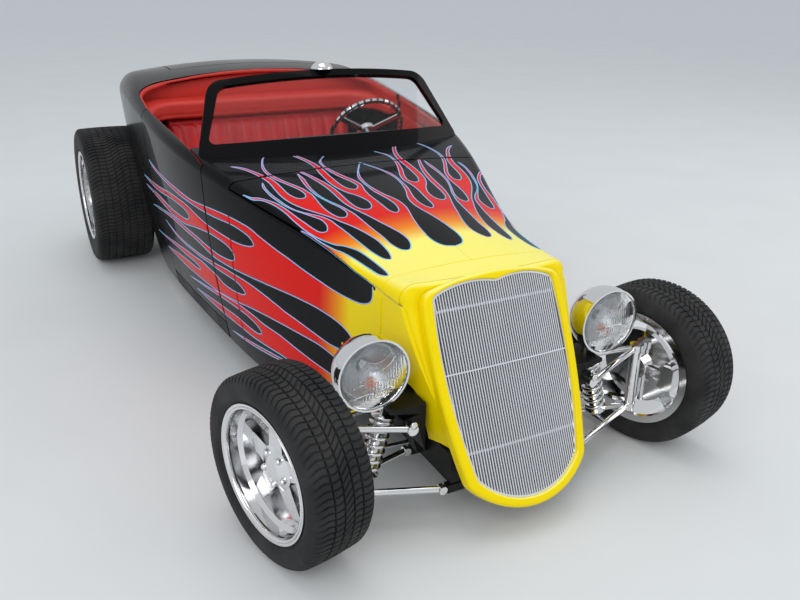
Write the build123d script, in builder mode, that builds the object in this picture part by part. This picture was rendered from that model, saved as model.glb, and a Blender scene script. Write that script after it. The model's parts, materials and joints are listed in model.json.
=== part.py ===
from build123d import *
from math import atan, cos, pi, sin, sqrt
import os

os.makedirs("parts", exist_ok=True)

# Street rod roadster. Millimetres. The car faces -Y, its left side is +X and +Z is up.
# Stations along the car are given as distances aft of the front axle.

# Overall layout
wheelbase = 2845.0
nose_to_box_centre = 1553.0
front_track = 1400.0
rear_track = 1400.0
rest_steer = 14.0
kingpin_inset = 85.0

# Tyres and rims
front_tyre_r = 289.0
front_tyre_width = 200.0
front_rim_r = 208.0
rear_tyre_r = 371.0
rear_tyre_width = 308.0
rear_rim_r = 246.0
tyre_bead_gap = 0.3

# Gaps between pieces
fixed_gap = 0.3
panel_gap = 6.0
seat_gap = 0.3

# Walls
hood_wall = 12.0
body_wall = 22.0
trim_thickness = 13.0

# Limits of the cutting slabs, all beyond the body
beyond_side = 800.0
beyond_low = -150.0
beyond_top = 1400.0
beyond_front = -600.0
beyond_rear = 3700.0
open_drop = 120.0
shoulder_least = 8.0

# Grille shell, raked and bowed
shell_foot_aft = -280.0
shell_slope = 0.477
shell_bow = 22.0
shell_depth = 36.0
shell_rim = 30.0
shell_bow_half = 240.0
shell_cut_depth = 300.0

# Panel stations
hood_front_aft = 66.0
cowl_aft = 985.0
door_front_aft = 1170.0
door_rear_aft = 1890.0
door_bottom_z = 212.0
cockpit_front_aft = 1325.0
cockpit_rear_aft = 2262.0
lid_front_aft = 2420.0
lid_rear_aft = 3215.0
lid_half = 400.0
tail_aft = 3400.0
lid_rear_z = 742.0
lid_rear_rise = 1.25
lid_low_z = 640.0
lid_cut_up = 300.0
lid_cut_down = 150.0
bulkhead_aft = 2292.0
bulkhead_thick = 12.0

# Hinge barrels of the hood top and the deck lid
hinge_r = 2.7
hinge_half = 60.0
hinge_web = 3.0
hinge_bite = 2.0
hood_hinge_z = 868.3
lid_hinge_z = 1106.0

# Cockpit opening in plan
cockpit_front_half = 572.0
cockpit_mid_half = 637.0
cockpit_mid_aft = 1900.0
cockpit_rear_half = 622.0
cockpit_prism_aft = 1000.0
cockpit_corner_aft = 2226.0
cockpit_corner_r = 150.0
deck_depth = 75.0

# Door seam, trim and rocker
door_seam_slant = 0.25
trim_margin = 8.0
door_cut_run = 200.0
door_inner_x = 200.0
rocker_top_z = 206.0

# Grille shell outline, as half widths and heights above the ground
shell_foot_half = 216.0
shell_foot_z = 168.0
shell_base_z = 73.0
shell_mid_half = 256.0
shell_mid_z = 473.0
shell_top_half = 249.0
shell_top_z = 696.0
shell_crown_z = 731.0
shell_top_r = 50.0
shell_base_r = 55.0
shell_edge_r = 14.0
shell_lip_r = 5.0
grille_base_r = 40.0
grille_top_r = 24.0
grille_dip_r = 40.0
grille_hump_half = 112.0
grille_hump_z = 711.0
grille_dip_z = 702.0
grille_corner_z = 686.0

# Grille insert
grille_ring = 6.0
grille_setback = 12.0
grille_cut = 120.0
ring_reach_rear = 4.0
ring_reach_front = 2.0
grille_bar_count = 49
grille_bar_pitch = 8.8
grille_bar_width = 3.6
grille_bar_depth = 12.0
grille_rail_zs = (250.0, 640.0)
grille_mid_rail_z = 470.0
rail_reach = 3.0
rail_height = 8.0
mid_rail_reach = 1.2
mid_rail_height = 4.0
bar_run_out = 40.0

# Rear wheel arch and its inner panel
arch_r = 440.0
arch_panel = 4.0
arch_reach = 300.0
wheelhouse_x = 498.0
axle_slot_half = 62.0
axle_slot_top_z = 470.0
axle_slot_reach = 20.0

# Hood seam and suspension arch
hood_seam_drop = 22.0
notch_front_aft = -13.0
notch_lean = 40.0
notch_rear_aft = 330.0
notch_top_z = 420.0
notch_corner_r = 60.0

# Windshield
screen_base_aft = 1252.0
screen_base_z = 900.0
screen_slope = 0.80
screen_bow = 80.0
screen_base_half = 577.0
screen_top_half = 482.0
screen_height = 292.0
screen_thick = 24.0
glass_thick = 6.0
screen_foot_run = 150.0
screen_sheet_low = -200.0
screen_sheet_height = 700.0
screen_cut = 220.0
screen_side_rim = 38.0
screen_top_rim = 30.0
screen_corner_r = 72.0
glass_corner_r = 50.0
screen_base_rim_side = 24.0
screen_base_rim_mid = -14.0
mirror_r = 46.0
mirror_height = 30.0

# Floor and tunnel
floor_z = 190.3
floor_thick = 12.0
tunnel_half = 165.0
tunnel_top_z = 452.0
tunnel_wall = 6.0
floor_front_aft = 988.0
floor_half = 455.0
floor_rear_aft = 2345.0
rocker_margin = 12.0
tunnel_lead = 50.0
tunnel_tail = 10.0

# Axle lines
front_axle_y = -nose_to_box_centre
rear_axle_y = front_axle_y + wheelbase
kingpin_x = front_track / 2 - kingpin_inset
front_axle_z = front_tyre_r
rear_axle_z = rear_tyre_r

# Mirror, dash and steering
mirror_stem = 12.0
dash_drop = 170.0
dash_thick = 34.0
dash_lean = 14.0
dash_half = 545.0
dash_lip = 10.0
column_drift = 0.03
column_fall = 0.567
column_head_x = 350.0
column_head_aft = 1660.0
column_head_z = 842.0
column_r = 19.0
wheel_hub_r = 46.0
wheel_hub_depth = 34.0
wheel_rim_r = 182.0
wheel_grip_r = 11.0
wheel_grip_sides = 8
wheel_spoke_count = 3
wheel_spoke_angle = 90.0
wheel_spoke_width = 24.0
wheel_spoke_thick = 6.0

# Seats and padding
seat_half = 500.0
seat_front_aft = 1700.0
seat_rear_aft = 2110.0
seat_nose = 20.0
seat_top_z = 590.0
seat_dip = 35.0
seat_edge_r = 45.0
seat_foot_r = 5.0
back_half = 500.0
back_top_z = 878.0
back_top_depth = 70.0
roll_front_aft = 1900.0
roll_low_z = 880.0
roll_thick = 48.0
roll_depth = 120.0
roll_corner_r = 150.0
roll_rise = 10.0
roll_clear = 50.0

# Chassis rails in plan (aft, inner x, width) and in side view (aft, low z, high z)
rail_front_x = 185.0
rail_front_width = 45.0
rail_mid_x = 400.0
rail_rear_x = 300.0
rail_width = 50.0
rail_front_z = 150.0
rail_front_top_z = 250.0
rail_mid_z = 100.0
rail_mid_top_z = 190.0
rail_kick_low_z = 450.0
rail_kick_z = 530.0
rail_front_aft = -150.0
rail_rear_aft = 3330.0
rail_plan = [
    (rail_front_aft, rail_front_x, rail_front_width),
    (250.0, rail_front_x, rail_front_width),
    (1100.0, rail_mid_x, rail_width),
    (2200.0, rail_mid_x, rail_width),
    (2500.0, rail_rear_x, rail_width),
    (rail_rear_aft, rail_rear_x, rail_width),
]
rail_side = [
    (rail_front_aft, rail_front_z, rail_front_top_z),
    (250.0, rail_front_z, rail_front_top_z),
    (500.0, rail_mid_z, rail_mid_top_z),
    (2350.0, rail_mid_z, rail_mid_top_z),
    (2650.0, rail_kick_low_z, rail_kick_z),
    (3050.0, rail_kick_low_z, rail_kick_z),
    (rail_rear_aft, 380.0, 440.0),
]

# Front suspension
pivot_x = 255.0
pivot_front_aft = -142.0
pivot_rear_aft = 90.0
pivot_z = 136.0
pivot_boss = 24.0
boss_r = 13.7
arm_tube_r = 11.0
lower_boss_low_z = 120.0
ball_boss_r = 24.0
ball_boss_height = 28.0
upper_pivot_x = 337.0
upper_pivot_rise = 93.0
upper_front_aft = -94.0
upper_rear_aft = 84.0
upper_boss_low_z = 352.5
upper_boss_height = 27.0
upper_tube_r = 10.0
upper_eye = 22.0
upper_eye_r = 17.0
tower_low_z = 180.0
tower_top_z = 404.0
tower_lip = 12.0
tower_reach_x = 395.0
tower_front_aft = -70.0
tower_rear_aft = 60.0
tower_root_aft = 6.0
tower_root_x = 277.0
tower_foot_width = 30.0
tower_cheek = [(-37.0, -23.0), (16.0, -18.0), (16.0, 19.0), (-37.0, 29.0)]
arm_bar_drop = 14.0
crossbar_width = 60.0
tank_bar_width = 40.0
coil_foot_x = 452.0
coil_head_x = 385.0
coil_head_drop = 5.0
coil_aft = -12.0
coil_r = 33.0
spring_r = 28.0
eye_r = 12.0
kingpin_r = 20.0
pin_gap = 0.5
flange_r = 45.0
steer_arm_in = 60.0
steer_arm_back = 140.0
steer_arm_z = 153.0
steer_arm_thick = 14.0
steer_arm_width = 24.0
steer_stud_r = 6.0
tie_top_z = 144.0
tie_rod_r = 7.5
tie_eye_height = 18.0
tie_eye_r = 16.0
rack_half = 190.0
rack_aft = 136.0
rack_bar_r = 11.0
rack_case_half = 60.0
rack_case_drop = 20.0

# Brakes
disc_r = 135.0
disc_rear = -60.0
disc_thick = 24.0
disc_gap = 5.0
caliper_near = 95.0
caliper_far = 150.0
caliper_height = 90.0
caliper_corner_r = 14.0
caliper_rear = -82.0
caliper_front = -14.0
bracket_height = 30.0
bracket_thick = 15.0
bracket_inner_x = 3.0
bracket_bite = 10.0
drum_r = 140.0
drum_rear = -120.0
drum_thick = 70.0

# Wheels, seen from the wheel's centre plane with the outer face positive
front_seat_half = 80.0
rear_seat_half = 134.0
rim_lip_height = 12.0
rim_lip_run = 6.3
rim_lip_thick = 6.0
rim_depth = 30.0
rim_step = 12.0
rim_wall = 7.0
front_spoke_rear = 8.0
rear_spoke_rear = 44.0
spoke_thick = 30.0
spoke_count = 5
spoke_foot = 66.0
spoke_taper_angle = 84.0
spoke_overlap = 16.0
hub_r = 68.0
cap_r = 30.0
cap_height = 16.0
tyre_shoulder_in = 8.0
tyre_shoulder_drop = 22.0
tyre_tread_in = 28.0

# Engine, gearbox, radiator, tank and trunk floor
engine_front_aft = 330.0
engine_rear_aft = 930.0
engine_low_z = 250.3
engine_foot_half = 130.0
engine_half = 230.0
engine_deck_z = 520.0
engine_top_half = 150.0
engine_top_z = 672.0
engine_bar_aft = 630.0
engine_bar_half = 315.0
gearbox_z = 315.0
gearbox_front_half = 125.0
gearbox_rear_half = 70.0
gearbox_rear_aft = 1500.0
radiator_setback = 30.0
radiator_thick = 60.0
radiator_half = 190.0
radiator_top_z = 600.0
tank_front_aft = 2990.0
tank_rear_aft = 3230.0
tank_low_z = 380.0
tank_height = 140.0
tank_corner_r = 40.0
trunk_floor_z = 560.3
trunk_floor_thick = 8.0
trunk_half = 420.0
trunk_front_aft = 2304.3
trunk_rear_aft = 3130.0

# Rear axle, springs and exhaust
axle_half = 560.0
axle_tube_r = 42.0
driveshaft_r = 36.0
diff_r = 125.0
spring_x = 430.0
spring_aft = 2937.0
spring_bar_half = 462.0
shelf_z = 302.0
shelf_thick = 14.0
shelf_width = 40.0
shelf_reach = 120.0
exhaust_x = 205.0
exhaust_z = 150.0
exhaust_r = 22.0
exhaust_bend_r = 60.0
exhaust_front_aft = 740.0
exhaust_rear_aft = 2560.0
muffler_r = 40.0
muffler_front_aft = 1650.0
muffler_rear_aft = 2150.0

# Headlights
lamp_x = 434.0
lamp_aft = -44.0
lamp_z = 516.0
lamp_r = 114.0
lamp_depth = 150.0
lamp_band = 20.0
lamp_wall = 6.0
lens_seat = 13.0
lens_edge = 4.0
lens_dome = 16.0
stem_x = 378.0
stem_aft = 0.0
stem_r = 13.0

# Tail lamps and plate
tail_lamp_x = 290.0
tail_lamp_z = 440.0
tail_lamp_r = 36.0
tail_lamp_depth = 24.0
plate_z = 420.0
plate_width = 320.0
plate_height = 170.0
plate_thick = 6.0
plate_corner_r = 12.0
plate_bolt_x = 177.8
plate_bolt_z = 120.0
plate_bolt_r = 3.5

firewall_rear_aft = cowl_aft + bulkhead_thick
column_tilt = column_fall / sqrt(1.0 + column_fall**2)
column_run = column_head_aft - firewall_rear_aft - fixed_gap - column_r * column_tilt
column_head = Vector(column_head_x, front_axle_y + column_head_aft, column_head_z)
column_foot = column_head - Vector(column_drift, 1.0, column_fall) * column_run
column_plane = Plane(
    origin=column_head,
    x_dir=(1.0, 0.0, 0.0),
    z_dir=(column_head - column_foot).normalized(),
)


def station(aft):
    # Y of a station given as a distance aft of the front axle
    return front_axle_y + aft


def cross_plane(aft):
    # Plane across the car: local x is X, local y is Z
    return Plane.XZ.offset(-station(aft))


def side_plane(x=0.0):
    # Plane along the car: local x is Y, local y is Z
    return Plane.YZ.offset(x)


# Body sections: aft, sill half width, sill z, belt half width, belt z, crown, side bulge, shoulder radius
body_sections = [
    (-310.0, 192.0, 166.0, 164.0, 652.0, 48.0, 12.0, 34.0),
    (300.0, 344.0, 142.0, 334.0, 720.0, 44.0, 14.0, 34.0),
    (985.0, 503.0, 130.0, 540.0, 850.0, 22.0, 16.0, 36.0),
    (1250.0, 527.0, 130.0, 612.0, 902.0, 10.0, 18.0, 38.0),
    (1850.0, 564.0, 130.0, 668.0, 976.0, 46.0, 20.0, 44.0),
    (2350.0, 556.0, 134.0, 656.0, 1046.0, 58.0, 20.0, 84.0),
    (2850.0, 476.0, 190.0, 600.0, 992.0, 66.0, 20.0, 90.0),
    (tail_aft, 330.0, 320.0, 400.0, 486.0, 40.0, 10.0, 60.0),
]


def body_loft(inset, open_bottom):
    # The body's outer form, drawn inwards by inset; an open bottom runs on below the sill
    drop = open_drop if open_bottom else 0.0
    front_aft = body_sections[0][0] + inset
    rear_aft = body_sections[-1][0] - inset
    with BuildPart() as form:
        for aft, sill, sill_z, belt, belt_z, crown, bulge, shoulder in body_sections:
            with BuildSketch(cross_plane(min(max(aft, front_aft), rear_aft))) as section:
                half_low = sill - inset
                half_top = belt - inset
                low_z = sill_z - drop
                top_z = belt_z - inset
                with BuildLine():
                    Line((-half_low, low_z), (half_low, low_z))
                    mid = ((half_low + half_top) / 2 + bulge, (sill_z + top_z) / 2)
                    ThreePointArc((half_low, low_z), mid, (half_top, top_z))
                    ThreePointArc((half_top, top_z), (0, top_z + crown), (-half_top, top_z))
                    ThreePointArc((-half_top, top_z), (-mid[0], mid[1]), (-half_low, low_z))
                make_face()
                corners = section.vertices().group_by(Axis.Y)[-1]
                fillet(corners, max(shoulder - inset, shoulder_least))
        loft()
    return form.part


body_form = body_loft(0.0, False)
body_clear = body_loft(-fixed_gap, False)
hood_hollow = body_loft(hood_wall, True)
cabin_hollow = body_loft(body_wall, True)
trim_face = body_loft(body_wall + fixed_gap, True)
trim_hollow = body_loft(body_wall + trim_thickness, True)


def save(part, label):
    # Labels a finished piece and writes it
    part.label = label
    export_step(part, f"parts/{label}.step")


def save_pair(part, label):
    # Writes a left piece and its mirror image as one node
    with BuildPart() as pair:
        add(part)
        add(part.mirror(Plane.YZ))
    save(pair.part, label)


def slab_along(points, x_low, x_high):
    # Prism across the car over a side-view outline of (aft, z) points
    with BuildPart() as prism:
        with BuildSketch(side_plane(x_low)):
            with BuildLine():
                Polyline(*[(station(aft), z) for aft, z in points], close=True)
            make_face()
        extrude(amount=x_high - x_low)
    return prism.part


def band(front_aft, rear_aft, low_z=beyond_low, high_z=beyond_top):
    # Side-view rectangle of (aft, z) points
    return [(front_aft, low_z), (rear_aft, low_z), (rear_aft, high_z), (front_aft, high_z)]


def above_belt(sections, shift):
    # Side-view area above a line that follows the belt
    line = [(section[0], section[4] + shift) for section in sections]
    return line + [(beyond_rear, beyond_top), (beyond_front, beyond_top)]


def seam_points(shift):
    # Side-view line just under the belt that parts the hood top from its sides
    return [(section[0], section[4] - hood_seam_drop + shift) for section in body_sections[:3]]


# The grille's plane leans back at the top; the shell and insert are bowed round it
rake = atan(shell_slope)
grille_up = (0.0, sin(rake), cos(rake))
grille_out = (0.0, -cos(rake), sin(rake))
grille_origin = (0.0, station(shell_foot_aft), 0.0)
grille_plane = Plane(origin=grille_origin, x_dir=(1, 0, 0), z_dir=grille_out)
grille_cross = Plane(origin=grille_origin, x_dir=(1, 0, 0), z_dir=grille_up)
bow_radius = (shell_bow_half**2 + shell_bow**2) / (2 * shell_bow)


def up_grille(z):
    # Distance up the grille's plane of a height above the ground
    return z / cos(rake)


def bowed_slab(rear, front):
    # Bowed sheet between two distances ahead of the grille's rear face
    with BuildPart() as sheet:
        with BuildSketch(grille_cross):
            with Locations((0.0, bow_radius - shell_bow)):
                Circle(bow_radius + front)
                Circle(bow_radius + rear, mode=Mode.SUBTRACT)
            with Locations((0.0, bow_radius / 2)):
                Rectangle(3 * bow_radius, 3 * bow_radius, mode=Mode.SUBTRACT, align=(Align.CENTER, Align.MIN))
        extrude(amount=beyond_top)
    return sheet.part


def hinge_barrel(aft, z, edge_aft):
    # Barrel across the car with the web that joins it to a panel's edge
    with BuildPart() as barrel:
        with BuildSketch(side_plane(-hinge_half)):
            with Locations((station(aft), z)):
                Circle(hinge_r)
            with Locations((station((aft + edge_aft) / 2), z)):
                Rectangle(abs(edge_aft - aft), hinge_web)
        extrude(amount=2 * hinge_half)
    return barrel.part


# Hood top, hinged along its rear edge
top_seam = seam_points(panel_gap / 2)
hood_rear_aft = cowl_aft - panel_gap
with BuildPart() as hood_top:
    add(body_form)
    add(hood_hollow, mode=Mode.SUBTRACT)
    outline = top_seam + [(cowl_aft, beyond_top), (top_seam[0][0], beyond_top)]
    add(slab_along(outline, -beyond_side, beyond_side), mode=Mode.INTERSECT)
    add(slab_along(band(hood_front_aft, hood_rear_aft), -beyond_side, beyond_side), mode=Mode.INTERSECT)
    add(hinge_barrel(cowl_aft - panel_gap / 2, hood_hinge_z, hood_rear_aft - hinge_bite))
save(hood_top.part, "hood_top")

# Hood sides, cut away round the front suspension
side_seam = seam_points(-panel_gap / 2)
side_rear_aft = cowl_aft - fixed_gap
for side, low, high in (("left", 0.0, beyond_side), ("right", -beyond_side, 0.0)):
    with BuildPart() as hood_side:
        add(body_form)
        add(hood_hollow, mode=Mode.SUBTRACT)
        outline = [
            (body_sections[0][0], beyond_low),
            (side_rear_aft, beyond_low),
            (side_rear_aft, side_seam[2][1]),
            side_seam[1],
            side_seam[0],
        ]
        add(slab_along(outline, low, high), mode=Mode.INTERSECT)
        add(bowed_slab(-fixed_gap, shell_cut_depth), mode=Mode.SUBTRACT)
        with BuildSketch(side_plane(low)) as arch:
            with BuildLine():
                Polyline(
                    (station(notch_front_aft - notch_lean), 0.0),
                    (station(notch_front_aft), notch_top_z),
                    (station(notch_rear_aft), notch_top_z),
                    (station(notch_rear_aft), 0.0),
                    close=True,
                )
            make_face()
            fillet(arch.vertices().group_by(Axis.Y)[-1], notch_corner_r)
        extrude(amount=high - low, mode=Mode.SUBTRACT)
    save(hood_side.part, f"hood_side_{side}")


def door_front_plane(shift):
    # Slanted plane through the left door's front seam, upright as seen from the side
    front, rear = body_sections[2], body_sections[4]
    share = (door_front_aft - front[0]) / (rear[0] - front[0])
    foot = front[1] + (rear[1] - front[1]) * share
    head = front[3] + (rear[3] - front[3]) * share
    lean = (head - foot) / (front[4] - front[2])
    origin = (foot, station(door_front_aft) + shift, front[2])
    return Plane(origin=origin, z_dir=(door_seam_slant, 1.0, -door_seam_slant * lean))


def cockpit_prism(shrink):
    # The cockpit opening in plan, from under the deck upwards
    front_y = station(cockpit_prism_aft)
    with BuildPart() as prism:
        with BuildSketch(Plane.XY) as plan:
            with BuildLine():
                corner = (cockpit_rear_half - shrink, station(cockpit_corner_aft) - shrink)
                middle = (cockpit_mid_half - shrink, station(cockpit_mid_aft))
                front = (cockpit_front_half - shrink, front_y)
                Line((-front[0], front_y), front)
                Line(front, middle)
                Line(middle, corner)
                top = (0.0, station(cockpit_rear_aft) - shrink)
                ThreePointArc(corner, top, (-corner[0], corner[1]))
                Line((-corner[0], corner[1]), (-middle[0], middle[1]))
                Line((-middle[0], middle[1]), (-front[0], front_y))
            make_face()
            fillet(plan.vertices().group_by(Axis.Y)[-1], cockpit_corner_r)
        extrude(amount=beyond_top)
        outline = above_belt(body_sections[2:6], -deck_depth)
        add(slab_along(outline, -beyond_side, beyond_side), mode=Mode.INTERSECT)
    return prism.part


def cap_middle(radius, rise):
    # Half-way point of a spherical cap's section, as a radius and a height
    sphere = (radius**2 + rise**2) / (2 * rise)
    return radius / 2, sqrt(sphere**2 - radius**2 / 4) - (sphere - rise)


def left_and_right(part):
    # A left piece and its mirror image, by name of side
    return (("left", part), ("right", part.mirror(Plane.YZ)))


def lid_outline(grow):
    # Side view of the deck lid, its rear edge square to the falling deck
    run = 1.0 / sqrt(1.0 + lid_rear_rise**2)
    across = (lid_rear_rise * run, run)
    shift = (lid_rear_aft + run * grow, lid_rear_z - lid_rear_rise * run * grow)
    above = (shift[0] + across[0] * lid_cut_up, shift[1] + across[1] * lid_cut_up)
    below = (shift[0] - across[0] * lid_cut_down, shift[1] - across[1] * lid_cut_down)
    return [(lid_front_aft - grow, lid_low_z), (lid_front_aft - grow, beyond_top), above, below]


cockpit_hole = cockpit_prism(0.0)

# Doors, hinged along their rear edge
with BuildPart() as left_door:
    add(body_form)
    add(cabin_hollow, mode=Mode.SUBTRACT)
    outline = band(door_front_aft - door_cut_run, door_rear_aft, door_bottom_z)
    add(slab_along(outline, door_inner_x, beyond_side), mode=Mode.INTERSECT)
    add(cockpit_hole, mode=Mode.SUBTRACT)
    split(bisect_by=door_front_plane(panel_gap), keep=Keep.TOP)
for side, part in left_and_right(left_door.part):
    save(part, f"door_{side}")

# Door trim panels, seated on the doors' inner faces
with BuildPart() as left_trim:
    add(trim_face)
    add(trim_hollow, mode=Mode.SUBTRACT)
    outline = band(door_front_aft - door_cut_run, door_rear_aft - trim_margin, door_bottom_z + trim_margin)
    add(slab_along(outline, door_inner_x, beyond_side), mode=Mode.INTERSECT)
    outline = above_belt(body_sections[2:6], -deck_depth - trim_margin)
    add(slab_along(outline, -beyond_side, beyond_side), mode=Mode.SUBTRACT)
    split(bisect_by=door_front_plane(panel_gap + trim_margin * 2.0), keep=Keep.TOP)
for side, part in left_and_right(left_trim.part):
    save(part, f"door_trim_{side}")

# The space that the left door and its seam take out of the cowl
with BuildPart() as door_bay:
    with BuildSketch(door_front_plane(0.0)):
        Rectangle(2 * beyond_top, 2 * beyond_top)
    extrude(amount=beyond_top)
    add(cockpit_prism(panel_gap), mode=Mode.SUBTRACT)
    split(bisect_by=Plane.YZ, keep=Keep.TOP)

# The footwell, from the firewall to the doors
with BuildPart() as footwell:
    add(cabin_hollow)
    add(slab_along(band(firewall_rear_aft, door_rear_aft), -beyond_side, beyond_side), mode=Mode.INTERSECT)

# The tunnel's space through the firewall and the bulkhead, with the floor's edge below them
floor_top_z = floor_z + floor_thick
slot_half = floor_half + fixed_gap
with BuildPart() as tunnel_space:
    with BuildSketch(cross_plane(cowl_aft - tunnel_lead)):
        with BuildLine():
            Polyline(
                (-slot_half, 0.0),
                (-slot_half, floor_top_z + fixed_gap),
                (-tunnel_half - fixed_gap, floor_top_z + fixed_gap),
                (-tunnel_half - fixed_gap, tunnel_top_z + fixed_gap),
                (tunnel_half + fixed_gap, tunnel_top_z + fixed_gap),
                (tunnel_half + fixed_gap, floor_top_z + fixed_gap),
                (slot_half, floor_top_z + fixed_gap),
                (slot_half, 0.0),
                close=True,
            )
        make_face()
    extrude(amount=-(floor_rear_aft + tunnel_tail - cowl_aft + tunnel_lead))

# Cowl: firewall, kick panels and the deck that carries the windshield
with BuildPart() as cowl:
    add(body_form)
    add(slab_along(band(cowl_aft, cockpit_front_aft), -beyond_side, beyond_side), mode=Mode.INTERSECT)
    add(footwell.part, mode=Mode.SUBTRACT)
    add(tunnel_space.part, mode=Mode.SUBTRACT)
    for side, part in left_and_right(door_bay.part):
        add(part, mode=Mode.SUBTRACT)
save(cowl.part, "cowl")

# Rear body: quarters, deck, bulkhead, wheelhouses and tail
rear_front_aft = door_rear_aft + panel_gap
with BuildPart() as rear_hollow:
    add(cabin_hollow)
    add(slab_along(band(cockpit_front_aft, beyond_rear), -beyond_side, beyond_side), mode=Mode.INTERSECT)
    outline = band(bulkhead_aft, bulkhead_aft + bulkhead_thick)
    add(slab_along(outline, -beyond_side, beyond_side), mode=Mode.SUBTRACT)
    for sign in (1, -1):
        low = wheelhouse_x if sign > 0 else -wheelhouse_x
        with BuildSketch(side_plane(low - sign * arch_panel)):
            with Locations((rear_axle_y, rear_axle_z)):
                Circle(arch_r + arch_panel)
        extrude(amount=sign * arch_reach, mode=Mode.SUBTRACT)
with BuildPart() as rear_body:
    add(body_form)
    add(slab_along(band(rear_front_aft, beyond_rear), -beyond_side, beyond_side), mode=Mode.INTERSECT)
    add(rear_hollow.part, mode=Mode.SUBTRACT)
    add(cockpit_hole, mode=Mode.SUBTRACT)
    lid_grown = lid_half + panel_gap
    add(slab_along(lid_outline(panel_gap), -lid_grown, lid_grown), mode=Mode.SUBTRACT)
    add(tunnel_space.part, mode=Mode.SUBTRACT)
    for sign in (1, -1):
        with BuildSketch(side_plane(sign * wheelhouse_x)):
            with Locations((rear_axle_y, rear_axle_z)):
                Circle(arch_r)
        extrude(amount=sign * arch_reach, mode=Mode.SUBTRACT)
    outline = band(wheelbase - axle_slot_half, wheelbase + axle_slot_half, 0.0, axle_slot_top_z)
    for sign in (1, -1):
        edges = sorted((sign * (wheelhouse_x - axle_slot_reach), sign * (wheelhouse_x + axle_slot_reach)))
        add(slab_along(outline, *edges), mode=Mode.SUBTRACT)
save(rear_body.part, "rear_body")

# Deck lid, hinged along its front edge
with BuildPart() as decklid:
    add(body_form)
    add(cabin_hollow, mode=Mode.SUBTRACT)
    add(slab_along(lid_outline(0.0), -lid_half, lid_half), mode=Mode.INTERSECT)
    add(hinge_barrel(lid_front_aft - panel_gap / 2, lid_hinge_z, lid_front_aft + hinge_bite))
save(decklid.part, "decklid")

# Floor pan with its tunnel and the rockers under the doors
rocker_front_aft = door_front_aft + rocker_margin
rocker_rear_aft = door_rear_aft - rocker_margin
with BuildPart() as cabin_above:
    add(cabin_hollow)
    outline = band(cowl_aft, lid_front_aft, floor_top_z)
    add(slab_along(outline, -beyond_side, beyond_side), mode=Mode.INTERSECT)
with BuildPart() as cabin_below:
    add(cabin_hollow)
    outline = band(cowl_aft, lid_front_aft, beyond_low, floor_z)
    add(slab_along(outline, -beyond_side, beyond_side), mode=Mode.INTERSECT)
with BuildPart() as floor_pan:
    add(body_form)
    outline = band(rocker_front_aft, rocker_rear_aft, 0.0, rocker_top_z)
    add(slab_along(outline, -beyond_side, beyond_side), mode=Mode.INTERSECT)
    add(cabin_above.part, mode=Mode.SUBTRACT)
    add(cabin_below.part, mode=Mode.SUBTRACT)
    floor_length = floor_rear_aft - floor_front_aft
    with BuildSketch(cross_plane(floor_front_aft)):
        with Locations((0.0, floor_z + floor_thick / 2)):
            Rectangle(2 * floor_half, floor_thick)
    extrude(amount=-floor_length)
    with BuildSketch(cross_plane(floor_front_aft)):
        with Locations((0.0, (tunnel_top_z + floor_z) / 2)):
            Rectangle(2 * tunnel_half, tunnel_top_z - floor_z)
    extrude(amount=-floor_length)
    inner_half = tunnel_half - tunnel_wall
    inner_top = tunnel_top_z - tunnel_wall
    with BuildSketch(cross_plane(floor_front_aft)):
        with Locations((0.0, (inner_top + floor_z) / 2)):
            Rectangle(2 * inner_half, inner_top - floor_z)
    extrude(amount=-floor_length, mode=Mode.SUBTRACT)
save(floor_pan.part, "floor_pan")


def depth_at(point):
    # How far a point stands ahead of the grille's bowed rear face
    out = Vector(*grille_out)
    bow = shell_bow * (1.0 - (point.X / shell_bow_half) ** 2)
    return (point - Vector(*grille_origin)).dot(out) - bow


def shell_lower(inset):
    # Lower and side edges shared by the shell's outline and its opening
    foot = (shell_foot_half - inset, up_grille(shell_foot_z) + inset * 0.5)
    base = (0.0, up_grille(shell_base_z) + inset)
    middle = (shell_mid_half - inset, up_grille(shell_mid_z))
    return foot, base, middle


def opening_face(shrink):
    # Heart-topped opening of the grille shell
    foot, base, middle = shell_lower(shell_rim + shrink)
    corner = (shell_top_half - shell_rim - shrink, up_grille(grille_corner_z) - shrink)
    hump = (grille_hump_half, up_grille(grille_hump_z) - shrink)
    dip = (0.0, up_grille(grille_dip_z) - shrink)
    with BuildSketch(grille_plane) as opening:
        with BuildLine():
            ThreePointArc((-foot[0], foot[1]), base, foot)
            ThreePointArc(foot, middle, corner)
            ThreePointArc(corner, hump, dip)
            ThreePointArc(dip, (-hump[0], hump[1]), (-corner[0], corner[1]))
            ThreePointArc((-corner[0], corner[1]), (-middle[0], middle[1]), (-foot[0], foot[1]))
        make_face()
        points = opening.vertices().sort_by(Axis.Y)
        fillet(points[0:2], grille_base_r)
        points = opening.vertices().sort_by(Axis.Y)
        fillet(points[-1:], grille_dip_r)
        points = opening.vertices().filter_by(lambda point: abs(point.Y - corner[1]) < 0.01)
        fillet(points, grille_top_r)
    return opening.sketch


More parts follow.
